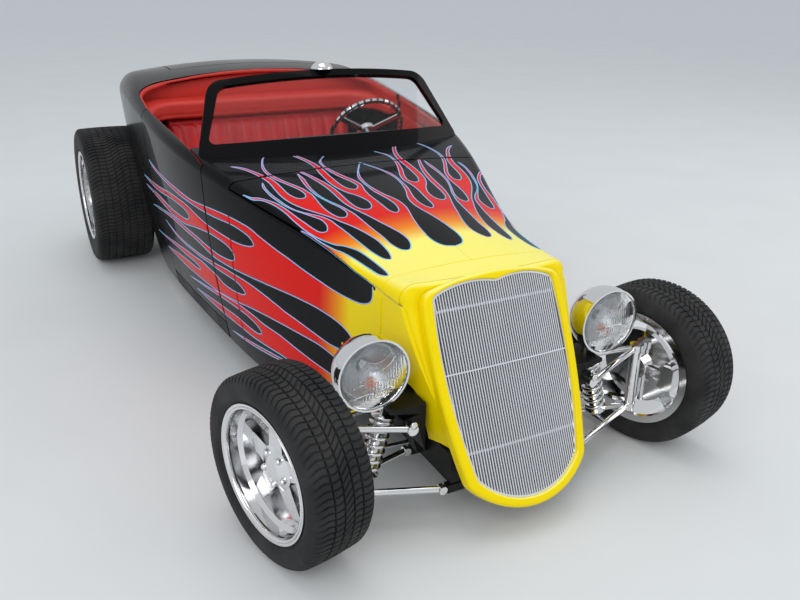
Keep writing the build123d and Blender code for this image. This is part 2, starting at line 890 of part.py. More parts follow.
grille_opening = opening_face(0.0)
with BuildPart() as grille_shell:
    foot, base, middle = shell_lower(0.0)
    corner = (shell_top_half, up_grille(shell_top_z))
    crown = (0.0, up_grille(shell_crown_z))
    with BuildSketch(grille_plane) as outline:
        with BuildLine():
            ThreePointArc((-foot[0], foot[1]), base, foot)
            ThreePointArc(foot, middle, corner)
            ThreePointArc(corner, crown, (-corner[0], corner[1]))
            ThreePointArc((-corner[0], corner[1]), (-middle[0], middle[1]), (-foot[0], foot[1]))
        make_face()
        ends = outline.vertices().sort_by(Axis.Y)
        fillet(ends[0:2], shell_base_r)
        ends = outline.vertices().sort_by(Axis.Y)
        fillet(ends[-2:], shell_top_r)
    extrude(amount=grille_cut, both=True)
    add(bowed_slab(0.0, shell_depth), mode=Mode.INTERSECT)
    face = grille_shell.faces().sort_by(Axis(grille_origin, grille_out))[-1]
    fillet(face.edges(), shell_edge_r)
    extrude(grille_opening, amount=grille_cut, both=True, mode=Mode.SUBTRACT)
    lip = [edge for edge in grille_shell.edges(Select.LAST) if depth_at(edge.center()) > 0.8 * shell_depth]
    fillet(lip, shell_lip_r)
save(grille_shell.part, "grille_shell")

# Grille insert: upright bars in a ring, tied by thin rails
insert_face = opening_face(fixed_gap)
inner_face = opening_face(fixed_gap + grille_ring)
bar_window = opening_face(fixed_gap + grille_ring / 2)
rail_window = opening_face(fixed_gap + grille_ring * 0.7)
bar_front = shell_depth - grille_setback
bar_rear = bar_front - grille_bar_depth
bar_foot = up_grille(shell_base_z) - bar_run_out
bar_length = up_grille(shell_crown_z - shell_base_z) + 2 * bar_run_out
with BuildPart() as grille_ring_part:
    extrude(insert_face, amount=grille_cut, both=True)
    extrude(inner_face, amount=grille_cut, both=True, mode=Mode.SUBTRACT)
    add(bowed_slab(bar_rear - ring_reach_rear, bar_front + ring_reach_front), mode=Mode.INTERSECT)
with BuildPart() as grille_bars:
    with BuildSketch(grille_cross.offset(bar_foot)):
        for number in range(grille_bar_count):
            x = (number - (grille_bar_count - 1) / 2) * grille_bar_pitch
            bow = shell_bow * (1.0 - (x / shell_bow_half) ** 2)
            with Locations((x, -(bow + (bar_front + bar_rear) / 2))):
                Rectangle(grille_bar_width, grille_bar_depth)
    extrude(amount=bar_length)
    extrude(bar_window, amount=grille_cut, both=True, mode=Mode.INTERSECT)


def grille_rail(z, rear, front, height):
    # Thin bowed rail across the grille at one height
    with BuildPart() as rail:
        extrude(rail_window, amount=grille_cut, both=True)
        add(bowed_slab(rear, front), mode=Mode.INTERSECT)
        with BuildSketch(grille_cross.offset(up_grille(z))):
            Rectangle(2 * shell_mid_half, 2 * shell_mid_half)
        extrude(amount=height, mode=Mode.INTERSECT)
    return rail.part


rails = [(z, bar_rear - rail_reach, bar_rear + rail_reach, rail_height) for z in grille_rail_zs]
rails.append((grille_mid_rail_z, bar_front - rail_reach, bar_front + mid_rail_reach, mid_rail_height))
with BuildPart() as grille_insert:
    add(grille_ring_part.part)
    add(grille_bars.part)
    for z, rear, front, height in rails:
        add(grille_rail(z, rear, front, height))
save(grille_insert.part, "grille_insert")

# Windshield: a raked, bowed frame trimmed to the cowl, with its glass
screen_rake = atan(screen_slope)
screen_up = (0.0, sin(screen_rake), cos(screen_rake))
screen_out = (0.0, -cos(screen_rake), sin(screen_rake))
screen_origin = (0.0, station(screen_base_aft), screen_base_z)
screen_plane = Plane(origin=screen_origin, x_dir=(1, 0, 0), z_dir=screen_out)
screen_cross = Plane(origin=screen_origin, x_dir=(1, 0, 0), z_dir=screen_up)
screen_bow_r = (screen_base_half**2 + screen_bow**2) / (2 * screen_bow)


def screen_sheet(rear, front):
    # Bowed sheet between two distances ahead of the windshield's rear face
    far = 3 * screen_bow_r
    with BuildPart() as sheet:
        with BuildSketch(screen_cross.offset(screen_sheet_low)):
            with Locations((0.0, screen_bow_r - screen_bow)):
                Circle(screen_bow_r + front)
                Circle(screen_bow_r + rear, mode=Mode.SUBTRACT)
            with Locations((0.0, screen_bow_r / 4)):
                Rectangle(far, far, mode=Mode.SUBTRACT, align=(Align.CENTER, Align.MIN))
        extrude(amount=screen_sheet_height)
    return sheet.part


def glass_face(shrink):
    # The windshield's sight opening, in its plane
    side_drop = screen_side_rim + shrink
    top = screen_height - screen_top_rim - shrink
    foot_half = screen_base_half - side_drop
    head_half = screen_top_half - side_drop
    low = screen_base_rim_side + shrink
    with BuildSketch(screen_plane) as opening:
        with BuildLine():
            ThreePointArc((-foot_half, low), (0.0, screen_base_rim_mid + shrink), (foot_half, low))
            Line((foot_half, low), (head_half, top))
            Line((head_half, top), (-head_half, top))
            Line((-head_half, top), (-foot_half, low))
        make_face()
        points = opening.vertices().sort_by(Axis.Y)
        fillet(points[0:2], glass_corner_r * 0.5)
        points = opening.vertices().group_by(Axis.Y)[-1]
        fillet(points, glass_corner_r)
    return opening.sketch


with BuildPart() as windshield_frame:
    with BuildSketch(screen_plane) as outline:
        with BuildLine():
            Polyline(
                (-screen_base_half, 0.0),
                (-screen_base_half, -screen_foot_run),
                (screen_base_half, -screen_foot_run),
                (screen_base_half, 0.0),
                (screen_top_half, screen_height),
                (-screen_top_half, screen_height),
                close=True,
            )
        make_face()
        fillet(outline.vertices().group_by(Axis.Y)[-1], screen_corner_r)
    extrude(amount=screen_cut, both=True)
    add(screen_sheet(0.0, screen_thick), mode=Mode.INTERSECT)
    extrude(glass_face(0.0), amount=screen_cut, both=True, mode=Mode.SUBTRACT)
    add(body_clear, mode=Mode.SUBTRACT)
save(windshield_frame.part, "windshield_frame")

glass_rear = (screen_thick - glass_thick) / 2
with BuildPart() as windshield_glass:
    extrude(glass_face(fixed_gap), amount=screen_cut, both=True)
    add(screen_sheet(glass_rear, glass_rear + glass_thick), mode=Mode.INTERSECT)
save(windshield_glass.part, "windshield_glass")

# Mirror: a domed pod standing on the frame's top rail
rail_middle = Vector(*screen_up) * screen_height + Vector(*screen_out) * (screen_bow + screen_thick / 2)
stem_base = Vector(*screen_origin) + rail_middle + Vector(*screen_up) * fixed_gap
pod_base = stem_base + Vector(*screen_up) * mirror_stem
pod_plane = Plane.XZ.offset(-pod_base.Y)
with BuildPart() as mirror_pod:
    with BuildSketch(Plane(origin=stem_base, x_dir=(1, 0, 0), z_dir=screen_up)):
        Ellipse(mirror_r * 0.4, screen_thick * 0.4)
    extrude(amount=mirror_stem + mirror_height * 0.3)
    with BuildSketch(pod_plane):
        with BuildLine():
            Line((0.0, pod_base.Z), (mirror_r, pod_base.Z))
            middle = cap_middle(mirror_r, mirror_height)
            ThreePointArc(
                (mirror_r, pod_base.Z),
                (middle[0], pod_base.Z + middle[1]),
                (0.0, pod_base.Z + mirror_height),
            )
            Line((0.0, pod_base.Z + mirror_height), (0.0, pod_base.Z))
        make_face()
    revolve(axis=Axis(pod_base, (0, 0, 1)))
save(mirror_pod.part, "mirror")

# Dash under the deck's rear edge, with the steering column's passage
column_length = (column_head - column_foot).length
dash_low_z = screen_base_z - dash_drop
with BuildPart() as dash:
    add(trim_face)
    front_aft = cockpit_front_aft - dash_thick
    outline = [
        (front_aft + dash_lean, dash_low_z),
        (cockpit_front_aft, dash_low_z - dash_lip),
        (cockpit_front_aft, beyond_top),
        (front_aft, beyond_top),
    ]
    add(slab_along(outline, -dash_half, dash_half), mode=Mode.INTERSECT)
    with BuildSketch(column_plane):
        Circle(column_r + fixed_gap)
    extrude(amount=column_length, both=True, mode=Mode.SUBTRACT)
save(dash.part, "dash")

# Steering column, from the firewall to the wheel
with BuildPart() as steering_column:
    with BuildSketch(column_plane):
        Circle(column_r)
    extrude(amount=-column_length)
save(steering_column.part, "steering_column")

# Steering wheel: hub, spokes and rim
rim_plane = column_plane.offset(fixed_gap + wheel_hub_depth / 2)
with BuildPart() as steering_wheel:
    with BuildSketch(column_plane.offset(fixed_gap)):
        Circle(wheel_hub_r)
    extrude(amount=wheel_hub_depth)
    hub_axis = Axis(column_plane.origin, column_plane.z_dir)
    fillet(steering_wheel.edges().group_by(hub_axis)[-1], wheel_hub_depth * 0.4)
    with BuildSketch(rim_plane.offset(-wheel_spoke_thick / 2)):
        with PolarLocations(0.0, wheel_spoke_count, start_angle=wheel_spoke_angle):
            with Locations((wheel_rim_r / 2, 0.0)):
                Rectangle(wheel_rim_r, wheel_spoke_width)
    extrude(amount=wheel_spoke_thick)
    rim_centre = rim_plane.origin
    section_plane = Plane(origin=rim_centre, x_dir=rim_plane.x_dir, z_dir=rim_plane.y_dir)
    with BuildSketch(section_plane):
        with Locations((wheel_rim_r, 0.0)):
            RegularPolygon(wheel_grip_r, wheel_grip_sides)
    revolve(axis=Axis(rim_centre, rim_plane.z_dir), revolution_arc=360.0)
save(steering_wheel.part, "steering_wheel")

# Bench seat over the tunnel
with BuildPart() as seat_base:
    with BuildSketch(side_plane(-seat_half)) as outline:
        with BuildLine():
            Polyline(
                (station(seat_front_aft), floor_top_z + seat_gap),
                (station(seat_rear_aft), floor_top_z + seat_gap),
                (station(seat_rear_aft), seat_top_z - seat_dip),
                (station(seat_front_aft - seat_nose), seat_top_z),
                close=True,
            )
        make_face()
        fillet(outline.vertices().group_by(Axis.Y)[-1], seat_edge_r)
    extrude(amount=2 * seat_half)
    notch_half = tunnel_half + seat_gap
    with BuildSketch(cross_plane(cowl_aft)):
        with Locations((0.0, (floor_z + tunnel_top_z + seat_gap) / 2)):
            Rectangle(2 * notch_half, tunnel_top_z + seat_gap - floor_z)
    extrude(amount=cowl_aft - lid_front_aft, mode=Mode.SUBTRACT)
save(seat_base.part, "seat_base")

# Seat back, leaning against the bulkhead
with BuildPart() as seat_back:
    with BuildSketch(side_plane(-back_half)) as outline:
        with BuildLine():
            Polyline(
                (station(seat_rear_aft + seat_gap), floor_top_z + seat_gap),
                (station(bulkhead_aft - seat_gap), floor_top_z + seat_gap),
                (station(bulkhead_aft - seat_gap), back_top_z),
                (station(bulkhead_aft - back_top_depth), back_top_z),
                (station(seat_rear_aft + seat_gap), seat_top_z - seat_dip),
                close=True,
            )
        make_face()
        fillet(outline.vertices().sort_by(Axis.Y)[0:1], seat_foot_r)
    extrude(amount=2 * back_half)
    with BuildSketch(cross_plane(cowl_aft)):
        with Locations((0.0, (floor_z + tunnel_top_z + seat_gap) / 2)):
            Rectangle(2 * notch_half, tunnel_top_z + seat_gap - floor_z)
    extrude(amount=cowl_aft - lid_front_aft, mode=Mode.SUBTRACT)
save(seat_back.part, "seat_back")

# Padded roll round the rear of the cockpit, above the seat back
with BuildPart() as cockpit_roll:
    add(trim_face)
    outline = band(roll_front_aft, bulkhead_aft - seat_gap, roll_low_z)
    add(slab_along(outline, -beyond_side, beyond_side), mode=Mode.INTERSECT)
    with BuildSketch(Plane.XY.offset(roll_low_z - roll_clear)) as plan:
        with BuildLine():
            half = cockpit_mid_half - roll_thick
            rear_y = station(bulkhead_aft - roll_depth)
            front_y = station(cockpit_front_aft)
            Polyline((-half, front_y), (half, front_y), (half, rear_y), (-half, rear_y), close=True)
        make_face()
        fillet(plan.vertices().group_by(Axis.Y)[-1], roll_corner_r)
    extrude(amount=beyond_top, mode=Mode.SUBTRACT)
    outline = above_belt(body_sections[4:6], roll_rise - deck_depth)
    add(slab_along(outline, -beyond_side, beyond_side), mode=Mode.SUBTRACT)
save(cockpit_roll.part, "cockpit_roll")

# Chassis rails: one band in plan and one in side view, shared by both sides
with BuildPart() as left_rail:
    with BuildSketch(Plane.XY):
        with BuildLine():
            inner = [(x, station(aft)) for aft, x, width in rail_plan]
            outer = [(x + width, station(aft)) for aft, x, width in reversed(rail_plan)]
            Polyline(*inner, *outer, close=True)
        make_face()
    extrude(amount=beyond_top)
    lower = [(aft, low) for aft, low, high in rail_side]
    upper = [(aft, high) for aft, low, high in reversed(rail_side)]
    add(slab_along(lower + upper, 0.0, beyond_side), mode=Mode.INTERSECT)
save_pair(left_rail.part, "frame_rails")


def crossbar(middle_aft, width, low_z, high_z, half):
    # Plain bar across the car
    with BuildPart() as bar:
        with BuildSketch(cross_plane(middle_aft - width / 2)):
            with Locations((0.0, (low_z + high_z) / 2)):
                Rectangle(2 * half, high_z - low_z)
        extrude(amount=-width)
    return bar.part


# Crossmembers: two for the lower arms, one under the engine, one over the springs and one behind the tank
arm_bar_half = pivot_x - boss_r - fixed_gap
arm_bar_low_z = pivot_z - arm_bar_drop
arm_bar_top_z = rail_front_z - fixed_gap
tank_bar_aft = tank_rear_aft + fixed_gap + tank_bar_width / 2
crossbars = [
    (pivot_front_aft, pivot_boss, arm_bar_low_z, arm_bar_top_z, arm_bar_half),
    (pivot_rear_aft, pivot_boss, arm_bar_low_z, arm_bar_top_z, arm_bar_half),
    (engine_bar_aft, crossbar_width, rail_mid_top_z + fixed_gap, engine_low_z - fixed_gap, engine_bar_half),
    (spring_aft, crossbar_width, rail_kick_z + fixed_gap, trunk_floor_z - fixed_gap, spring_bar_half),
    (tank_bar_aft, tank_bar_width, tank_low_z, tank_low_z + crossbar_width, rail_rear_x - fixed_gap),
]
with BuildPart() as crossmembers:
    for middle_aft, width, low_z, high_z, half in crossbars:
        add(crossbar(middle_aft, width, low_z, high_z, half))
save(crossmembers.part, "crossmembers")

# Engine as one block, gearbox, tank, trunk floor and radiator
with BuildPart() as engine:
    with BuildSketch(cross_plane(engine_front_aft)):
        with BuildLine():
            Polyline(
                (-engine_foot_half, engine_low_z),
                (engine_foot_half, engine_low_z),
                (engine_half, engine_deck_z),
                (engine_top_half, engine_top_z),
                (-engine_top_half, engine_top_z),
                (-engine_half, engine_deck_z),
                close=True,
            )
        make_face()
    extrude(amount=engine_front_aft - engine_rear_aft)
save(engine.part, "engine")
with BuildPart() as gearbox:
    with BuildSketch(cross_plane(engine_rear_aft + fixed_gap)):
        with Locations((0.0, gearbox_z)):
            Rectangle(2 * gearbox_front_half, 2 * gearbox_front_half)
    with BuildSketch(cross_plane(gearbox_rear_aft)):
        with Locations((0.0, gearbox_z)):
            Rectangle(2 * gearbox_rear_half, 2 * gearbox_rear_half)
    loft(ruled=True)
save(gearbox.part, "gearbox")
with BuildPart() as fuel_tank:
    with BuildSketch(side_plane(-rail_rear_x + fixed_gap)):
        with Locations((station((tank_front_aft + tank_rear_aft) / 2), tank_low_z + tank_height / 2)):
            RectangleRounded(tank_rear_aft - tank_front_aft, tank_height, tank_corner_r)
    extrude(amount=2 * (rail_rear_x - fixed_gap))
save(fuel_tank.part, "fuel_tank")
with BuildPart() as trunk_floor:
    with BuildSketch(Plane.XY.offset(trunk_floor_z)):
        with Locations((0.0, station((trunk_front_aft + trunk_rear_aft) / 2))):
            Rectangle(2 * trunk_half, trunk_rear_aft - trunk_front_aft)
    extrude(amount=trunk_floor_thick)
save(trunk_floor.part, "trunk_floor")
radiator_z = rail_front_top_z + fixed_gap
front_low = shell_foot_aft + shell_slope * radiator_z + radiator_setback
front_high = shell_foot_aft + shell_slope * radiator_top_z + radiator_setback
with BuildPart() as radiator:
    outline = [
        (front_low, radiator_z),
        (front_low + radiator_thick, radiator_z),
        (front_high + radiator_thick, radiator_top_z),
        (front_high, radiator_top_z),
    ]
    add(slab_along(outline, -radiator_half, radiator_half))
save(radiator.part, "radiator")


def rod(start, end, radius):
    # Round bar between two points
    along = end - start
    with BuildPart() as bar:
        with BuildSketch(Plane(origin=start, z_dir=along.normalized())):
            Circle(radius)
        extrude(amount=along.length)
    return bar.part


# Rear axle with its differential, spring shelves and driveshaft
axle_centre = Vector(0.0, rear_axle_y, rear_axle_z)
shaft_slope = (rear_axle_z - gearbox_z) / (wheelbase - gearbox_rear_aft)
shaft_start = Vector(0.0, station(gearbox_rear_aft + fixed_gap + driveshaft_r * shaft_slope), gearbox_z)
with BuildPart() as rear_axle:
    with BuildSketch(side_plane(-axle_half)):
        with Locations((rear_axle_y, rear_axle_z)):
            Circle(axle_tube_r)
    extrude(amount=2 * axle_half)
    add(rod(shaft_start, axle_centre, driveshaft_r))
    with BuildSketch(Plane(origin=axle_centre, x_dir=(1, 0, 0), z_dir=(0, 0, 1))):
        with BuildLine():
            Line((-diff_r, 0.0), (diff_r, 0.0))
            ThreePointArc((diff_r, 0.0), (0.0, diff_r), (-diff_r, 0.0))
        make_face()
    revolve(axis=Axis(axle_centre, (1, 0, 0)))
    for sign in (1, -1):
        with BuildSketch(side_plane(sign * spring_x - shelf_width / 2)):
            with BuildLine():
                Polyline(
                    (station(spring_aft) - shelf_reach, rear_axle_z),
                    (station(spring_aft) - shelf_reach, shelf_z - shelf_thick),
                    (station(spring_aft) + coil_r, shelf_z - shelf_thick),
                    (station(spring_aft) + coil_r, shelf_z),
                    (station(spring_aft) - coil_r, shelf_z),
                    (rear_axle_y + axle_tube_r * 0.8, rear_axle_z),
                    close=True,
                )
            make_face()
        extrude(amount=shelf_width)
save(rear_axle.part, "rear_axle")


def coil_over(foot, head):
    # Damper body, spring and seats turned about the line from foot to head
    along = head - foot
    length = along.length
    steps = [(0.0, eye_r), (0.08, coil_r), (0.12, spring_r), (0.88, coil_r), (0.92, eye_r)]
    with BuildPart() as unit:
        for number, (share, radius) in enumerate(steps):
            end = steps[number + 1][0] if number + 1 < len(steps) else 1.0
            start = foot + along * share
            with BuildSketch(Plane(origin=start, z_dir=along.normalized())):
                Circle(radius)
            extrude(amount=length * (end - share))
    return unit.part


with BuildPart() as left_rear_coil:
    foot = Vector(spring_x, station(spring_aft), shelf_z + fixed_gap)
    head = Vector(spring_x, station(spring_aft), rail_kick_z)
    add(coil_over(foot, head))
save_pair(left_rear_coil.part, "coil_overs_rear")

# Exhaust: two pipes, each with its muffler under the floor
with BuildPart() as exhaust:
    for sign in (1, -1):
        x = sign * exhaust_x
        with BuildLine() as route:
            FilletPolyline(
                (x, station(exhaust_front_aft), engine_low_z - fixed_gap),
                (x, station(exhaust_front_aft), exhaust_z),
                (x, station(exhaust_rear_aft), exhaust_z),
                radius=exhaust_bend_r,
            )
        with BuildSketch(Plane(origin=route.line @ 0, z_dir=route.line % 0)):
            Circle(exhaust_r)
        sweep(path=route.line)
        with BuildSketch(cross_plane(muffler_front_aft)):
            with Locations((x, exhaust_z)):
                Circle(muffler_r)
        extrude(amount=muffler_front_aft - muffler_rear_aft)
save(exhaust.part, "exhaust")


def pivot(x, aft, z):
    # Point of the suspension given by its station
    return Vector(x, station(aft), z)


# Front suspension, drawn for the left side about the kingpin
with BuildPart() as left_lower_arm:
    with BuildSketch(Plane.XY.offset(lower_boss_low_z)):
        with Locations((kingpin_x, front_axle_y)):
            Circle(ball_boss_r)
    extrude(amount=ball_boss_height)
    ball = pivot(kingpin_x, 0.0, lower_boss_low_z + ball_boss_height / 2)
    for aft in (pivot_front_aft, pivot_rear_aft):
        add(rod(pivot(pivot_x, aft, pivot_z), ball, arm_tube_r))
        with BuildSketch(cross_plane(aft - pivot_boss / 2)):
            with Locations((pivot_x, pivot_z)):
                Circle(boss_r)
        extrude(amount=-pivot_boss)
    share = (coil_foot_x - pivot_x) / (kingpin_x - pivot_x)
    tie_z = pivot_z + (ball.Z - pivot_z) * share
    tie_front = pivot(coil_foot_x, pivot_front_aft * (1.0 - share), tie_z)
    tie_rear = pivot(coil_foot_x, pivot_rear_aft * (1.0 - share), tie_z)
    add(rod(tie_front, tie_rear, arm_tube_r))
save_pair(left_lower_arm.part, "lower_arms")

upper_pivot_z = rail_front_top_z + upper_pivot_rise
with BuildPart() as left_upper_arm:
    with BuildSketch(Plane.XY.offset(upper_boss_low_z)):
        with Locations((kingpin_x, front_axle_y)):
            Circle(ball_boss_r)
    extrude(amount=upper_boss_height)
    ball = pivot(kingpin_x, 0.0, upper_boss_low_z + upper_boss_height / 2)
    for aft in (upper_front_aft, upper_rear_aft):
        add(rod(pivot(upper_pivot_x, aft, upper_pivot_z), ball, upper_tube_r))
        with BuildSketch(cross_plane(aft - upper_eye / 2)):
            with Locations((upper_pivot_x, upper_pivot_z)):
                Circle(upper_eye_r)
        extrude(amount=-upper_eye)
    shaft_front = pivot(upper_pivot_x, upper_front_aft, upper_pivot_z)
    shaft_rear = pivot(upper_pivot_x, upper_rear_aft, upper_pivot_z)
    add(rod(shaft_front, shaft_rear, upper_tube_r))
save_pair(left_upper_arm.part, "upper_arms")

# Shock towers: bracket on the rail that carries the upper arm, the coil-over and the headlight
tower_x = rail_front_x + rail_front_width + fixed_gap
with BuildPart() as left_tower:
    with BuildSketch(cross_plane(tower_front_aft)):
        with BuildLine():
            Polyline(
                (tower_x, tower_low_z),
                (tower_x + tower_foot_width, tower_low_z),
                *[(upper_pivot_x + x, upper_pivot_z + z) for x, z in tower_cheek],
                (tower_reach_x, tower_top_z - tower_lip),
                (tower_reach_x, tower_top_z),
                (tower_x, tower_top_z),
                close=True,
            )
        make_face()
        with Locations((upper_pivot_x, upper_pivot_z)):
            Circle(upper_tube_r + fixed_gap, mode=Mode.SUBTRACT)
    extrude(amount=tower_front_aft - tower_rear_aft)
    add(slab_along(band(tower_front_aft, tower_root_aft), 0.0, tower_root_x), mode=Mode.SUBTRACT)
save_pair(left_tower.part, "shock_towers")

# Front coil-overs, leaning in from the lower arm to the tower
coil_root = pivot(coil_foot_x, coil_aft, tie_z)
coil_head = pivot(coil_head_x, coil_aft, tower_top_z - tower_lip - coil_head_drop)
coil_way = (coil_head - coil_root).normalized()
with BuildPart() as left_coil:
    add(coil_over(coil_root + coil_way * (arm_tube_r + fixed_gap), coil_head))
save_pair(left_coil.part, "coil_overs_front")


def steered(part):
    # A piece drawn about the left kingpin at straight ahead, set on both sides at the rest angle
    left = part.moved(Location((kingpin_x, front_axle_y, 0.0), (0.0, 0.0, rest_steer)))
    right = part.mirror(Plane.YZ).moved(Location((-kingpin_x, front_axle_y, 0.0), (0.0, 0.0, rest_steer)))
    return (("left", left), ("right", right))


# Knuckle: kingpin column, hub flange, steering arm and brake caliper
column_low_z = lower_boss_low_z + ball_boss_height + pin_gap
column_high_z = upper_boss_low_z - pin_gap
flange_x = kingpin_inset + disc_rear - pin_gap
caliper_plane = Plane.YZ.offset(kingpin_inset + caliper_rear)
with BuildPart() as knuckle:
    with BuildSketch(Plane.XY.offset(column_low_z)):
        Circle(kingpin_r)
    extrude(amount=column_high_z - column_low_z)
    with BuildSketch(Plane.YZ):
        with Locations((0.0, front_axle_z)):
            Circle(flange_r)
    extrude(amount=flange_x)
    with BuildSketch(Plane.XY.offset(steer_arm_z)):
        with BuildLine():
            elbow = (-steer_arm_in * 0.5, steer_arm_back * 0.35)
            Polyline((0.0, 0.0), elbow, (-steer_arm_in, steer_arm_back))
        trace(line_width=steer_arm_width)
        with Locations((-steer_arm_in, steer_arm_back)):
            Circle(steer_arm_width / 2)
    extrude(amount=steer_arm_thick)
    with BuildSketch(Plane.XY.offset(tie_top_z + pin_gap)):
        with Locations((-steer_arm_in, steer_arm_back)):
            Circle(steer_stud_r)
    extrude(amount=steer_arm_z - tie_top_z - pin_gap)
    with BuildSketch(Plane.YZ.offset(bracket_inner_x)):
        with Locations((-(caliper_near + bracket_bite) / 2, front_axle_z)):
            Rectangle(caliper_near + bracket_bite, bracket_height)
    extrude(amount=bracket_thick)
    with BuildSketch(caliper_plane):
        with Locations((-(caliper_near + caliper_far) / 2, front_axle_z)):
            RectangleRounded(caliper_far - caliper_near, caliper_height, caliper_corner_r)
    extrude(amount=caliper_front - caliper_rear)
    with BuildSketch(Plane.YZ.offset(kingpin_inset + disc_rear - disc_gap)):
        with Locations((0.0, front_axle_z)):
            Circle(disc_r + disc_gap)
            Circle(disc_r * 0.5, mode=Mode.SUBTRACT)
    extrude(amount=disc_thick + 2 * disc_gap, mode=Mode.SUBTRACT)
for side, part in steered(knuckle.part):
    save(part, f"knuckle_{side}")


def tyre_solid(radius, width, rim_radius, seat_half):
    # Tyre turned about X, its beads on the rim's seats
    bore = rim_radius - rim_lip_height + tyre_bead_gap
    bead = seat_half - tyre_bead_gap
    middle = rim_radius + (radius - tyre_shoulder_drop - rim_radius) / 2
    with BuildPart() as tyre:
        with BuildSketch(Plane.XZ):
            with BuildLine():
                Polyline(
                    (-bead, bore),
                    (bead, bore),
                    (width / 2, middle),
                    (width / 2 - tyre_shoulder_in, radius - tyre_shoulder_drop),
                    (width / 2 - tyre_tread_in, radius),
                    (-width / 2 + tyre_tread_in, radius),
                    (-width / 2 + tyre_shoulder_in, radius - tyre_shoulder_drop),
                    (-width / 2, middle),
                    close=True,
                )
            make_face()
        revolve(axis=Axis.X)
    return tyre.part


def wheel_solid(rim_radius, seat_half, spoke_rear, brake, hub_rear):
    # Rim, five spokes, hub and brake turned about X; the brake is given by its rear, front and radius
    brake_rear, brake_front, brake_r = brake
    seat = rim_radius - rim_lip_height
    barrel = rim_radius - rim_depth
    lip = seat_half + rim_lip_run
    spoke_front = spoke_rear + spoke_thick
    with BuildPart() as wheel:
        with BuildSketch(Plane.XZ):
            with BuildLine():
                Polyline(
                    (-lip - rim_lip_thick, rim_radius),
                    (-lip, rim_radius),
                    (-seat_half, seat),
                    (seat_half, seat),
                    (lip, rim_radius),
                    (lip + rim_lip_thick, rim_radius),
                    (lip + rim_lip_thick, rim_radius - rim_lip_thick),
                    (seat_half, seat - rim_wall),
                    (spoke_front + rim_step, seat - rim_wall),
                    (spoke_front, barrel),
                    (-lip, barrel),
                    (-lip - rim_lip_thick, barrel + rim_lip_thick),
                    close=True,
                )
            make_face()
            with BuildLine():
                Polyline(
                    (hub_rear, 0.0),
                    (hub_rear, hub_r),
                    (spoke_front, hub_r),
                    (spoke_front + cap_height, cap_r),
                    (spoke_front + cap_height, 0.0),
                    close=True,
                )
            make_face()
            with Locations(((brake_rear + brake_front) / 2, brake_r / 2)):
                Rectangle(brake_front - brake_rear, brake_r)
        revolve(axis=Axis.X)
        with BuildSketch(Plane.YZ.offset(spoke_rear)):
            with PolarLocations(0.0, spoke_count, start_angle=90.0):
                with Locations(((hub_r + barrel) / 2, 0.0)):
                    Trapezoid(spoke_foot, barrel - hub_r + spoke_overlap, spoke_taper_angle, rotation=-90.0)
        extrude(amount=spoke_thick)
    return wheel.part


# Wheels and tyres: the front pair turns with the knuckles, the rear pair stands on the axle
disc = (disc_rear, disc_rear + disc_thick, disc_r)
front_wheel = wheel_solid(front_rim_r, front_seat_half, front_spoke_rear, disc, disc_rear)
front_tyre = tyre_solid(front_tyre_r, front_tyre_width, front_rim_r, front_seat_half)
hub_place = Location((kingpin_inset, 0.0, front_axle_z))
for name, piece in (("wheel_front", front_wheel), ("tyre_front", front_tyre)):
    for side, part in steered(piece.moved(hub_place)):
        save(part, f"{name}_{side}")
drum = (drum_rear, drum_rear + drum_thick, drum_r)
hub_rear = axle_half + pin_gap - rear_track / 2
rear_wheel = wheel_solid(rear_rim_r, rear_seat_half, rear_spoke_rear, drum, hub_rear)
rear_tyre = tyre_solid(rear_tyre_r, rear_tyre_width, rear_rim_r, rear_seat_half)
hub_place = Location((rear_track / 2, rear_axle_y, rear_axle_z))
for name, piece in (("wheel_rear", rear_wheel), ("tyre_rear", rear_tyre)):
    for side, part in left_and_right(piece.moved(hub_place)):
        save(part, f"{name}_{side}")

# Steering rack and tie rods: a straight rack bar with a rod out to each steering arm
turn = rest_steer * pi / 180.0
tie_z_mid = tie_top_z - tie_eye_height / 2
eyes = []
for sign in (1, -1):
    local = (-sign * steer_arm_in, steer_arm_back)
    x = sign * kingpin_x + local[0] * cos(turn) - local[1] * sin(turn)
    y = front_axle_y + local[0] * sin(turn) + local[1] * cos(turn)
    eyes.append(Vector(x, y, tie_z_mid))
with BuildPart() as tie_rods:
    rack_left = pivot(rack_half, rack_aft, tie_z_mid)
    rack_right = pivot(-rack_half, rack_aft, tie_z_mid)
    add(rod(rack_left, rack_right, rack_bar_r))
    for eye, end in ((eyes[0], rack_left), (eyes[1], rack_right)):
        add(rod(end, eye, tie_rod_r))
        with BuildSketch(Plane.XY.offset(tie_top_z - tie_eye_height)):
            with Locations((eye.X, eye.Y)):
                Circle(tie_eye_r)
        extrude(amount=tie_eye_height)
save(tie_rods.part, "tie_rods")
rack_front_aft = pivot_rear_aft + pivot_boss / 2 + fixed_gap
rack_top_z = rail_front_z - fixed_gap
with BuildPart() as steering_rack:
    with BuildSketch(side_plane(-rack_case_half)):
        with BuildLine():
            Polyline(
                (station(rack_front_aft), rack_top_z),
                (station(rack_front_aft), tie_z_mid - rack_case_drop),
                (station(rack_aft + rack_case_drop), tie_z_mid - rack_case_drop),
                (station(rack_aft + rack_case_drop), rack_top_z),
                close=True,
            )
        make_face()
        with Locations((station(rack_aft), tie_z_mid)):
            Circle(rack_bar_r + fixed_gap, mode=Mode.SUBTRACT)
    extrude(amount=2 * rack_case_half)
save(steering_rack.part, "steering_rack")

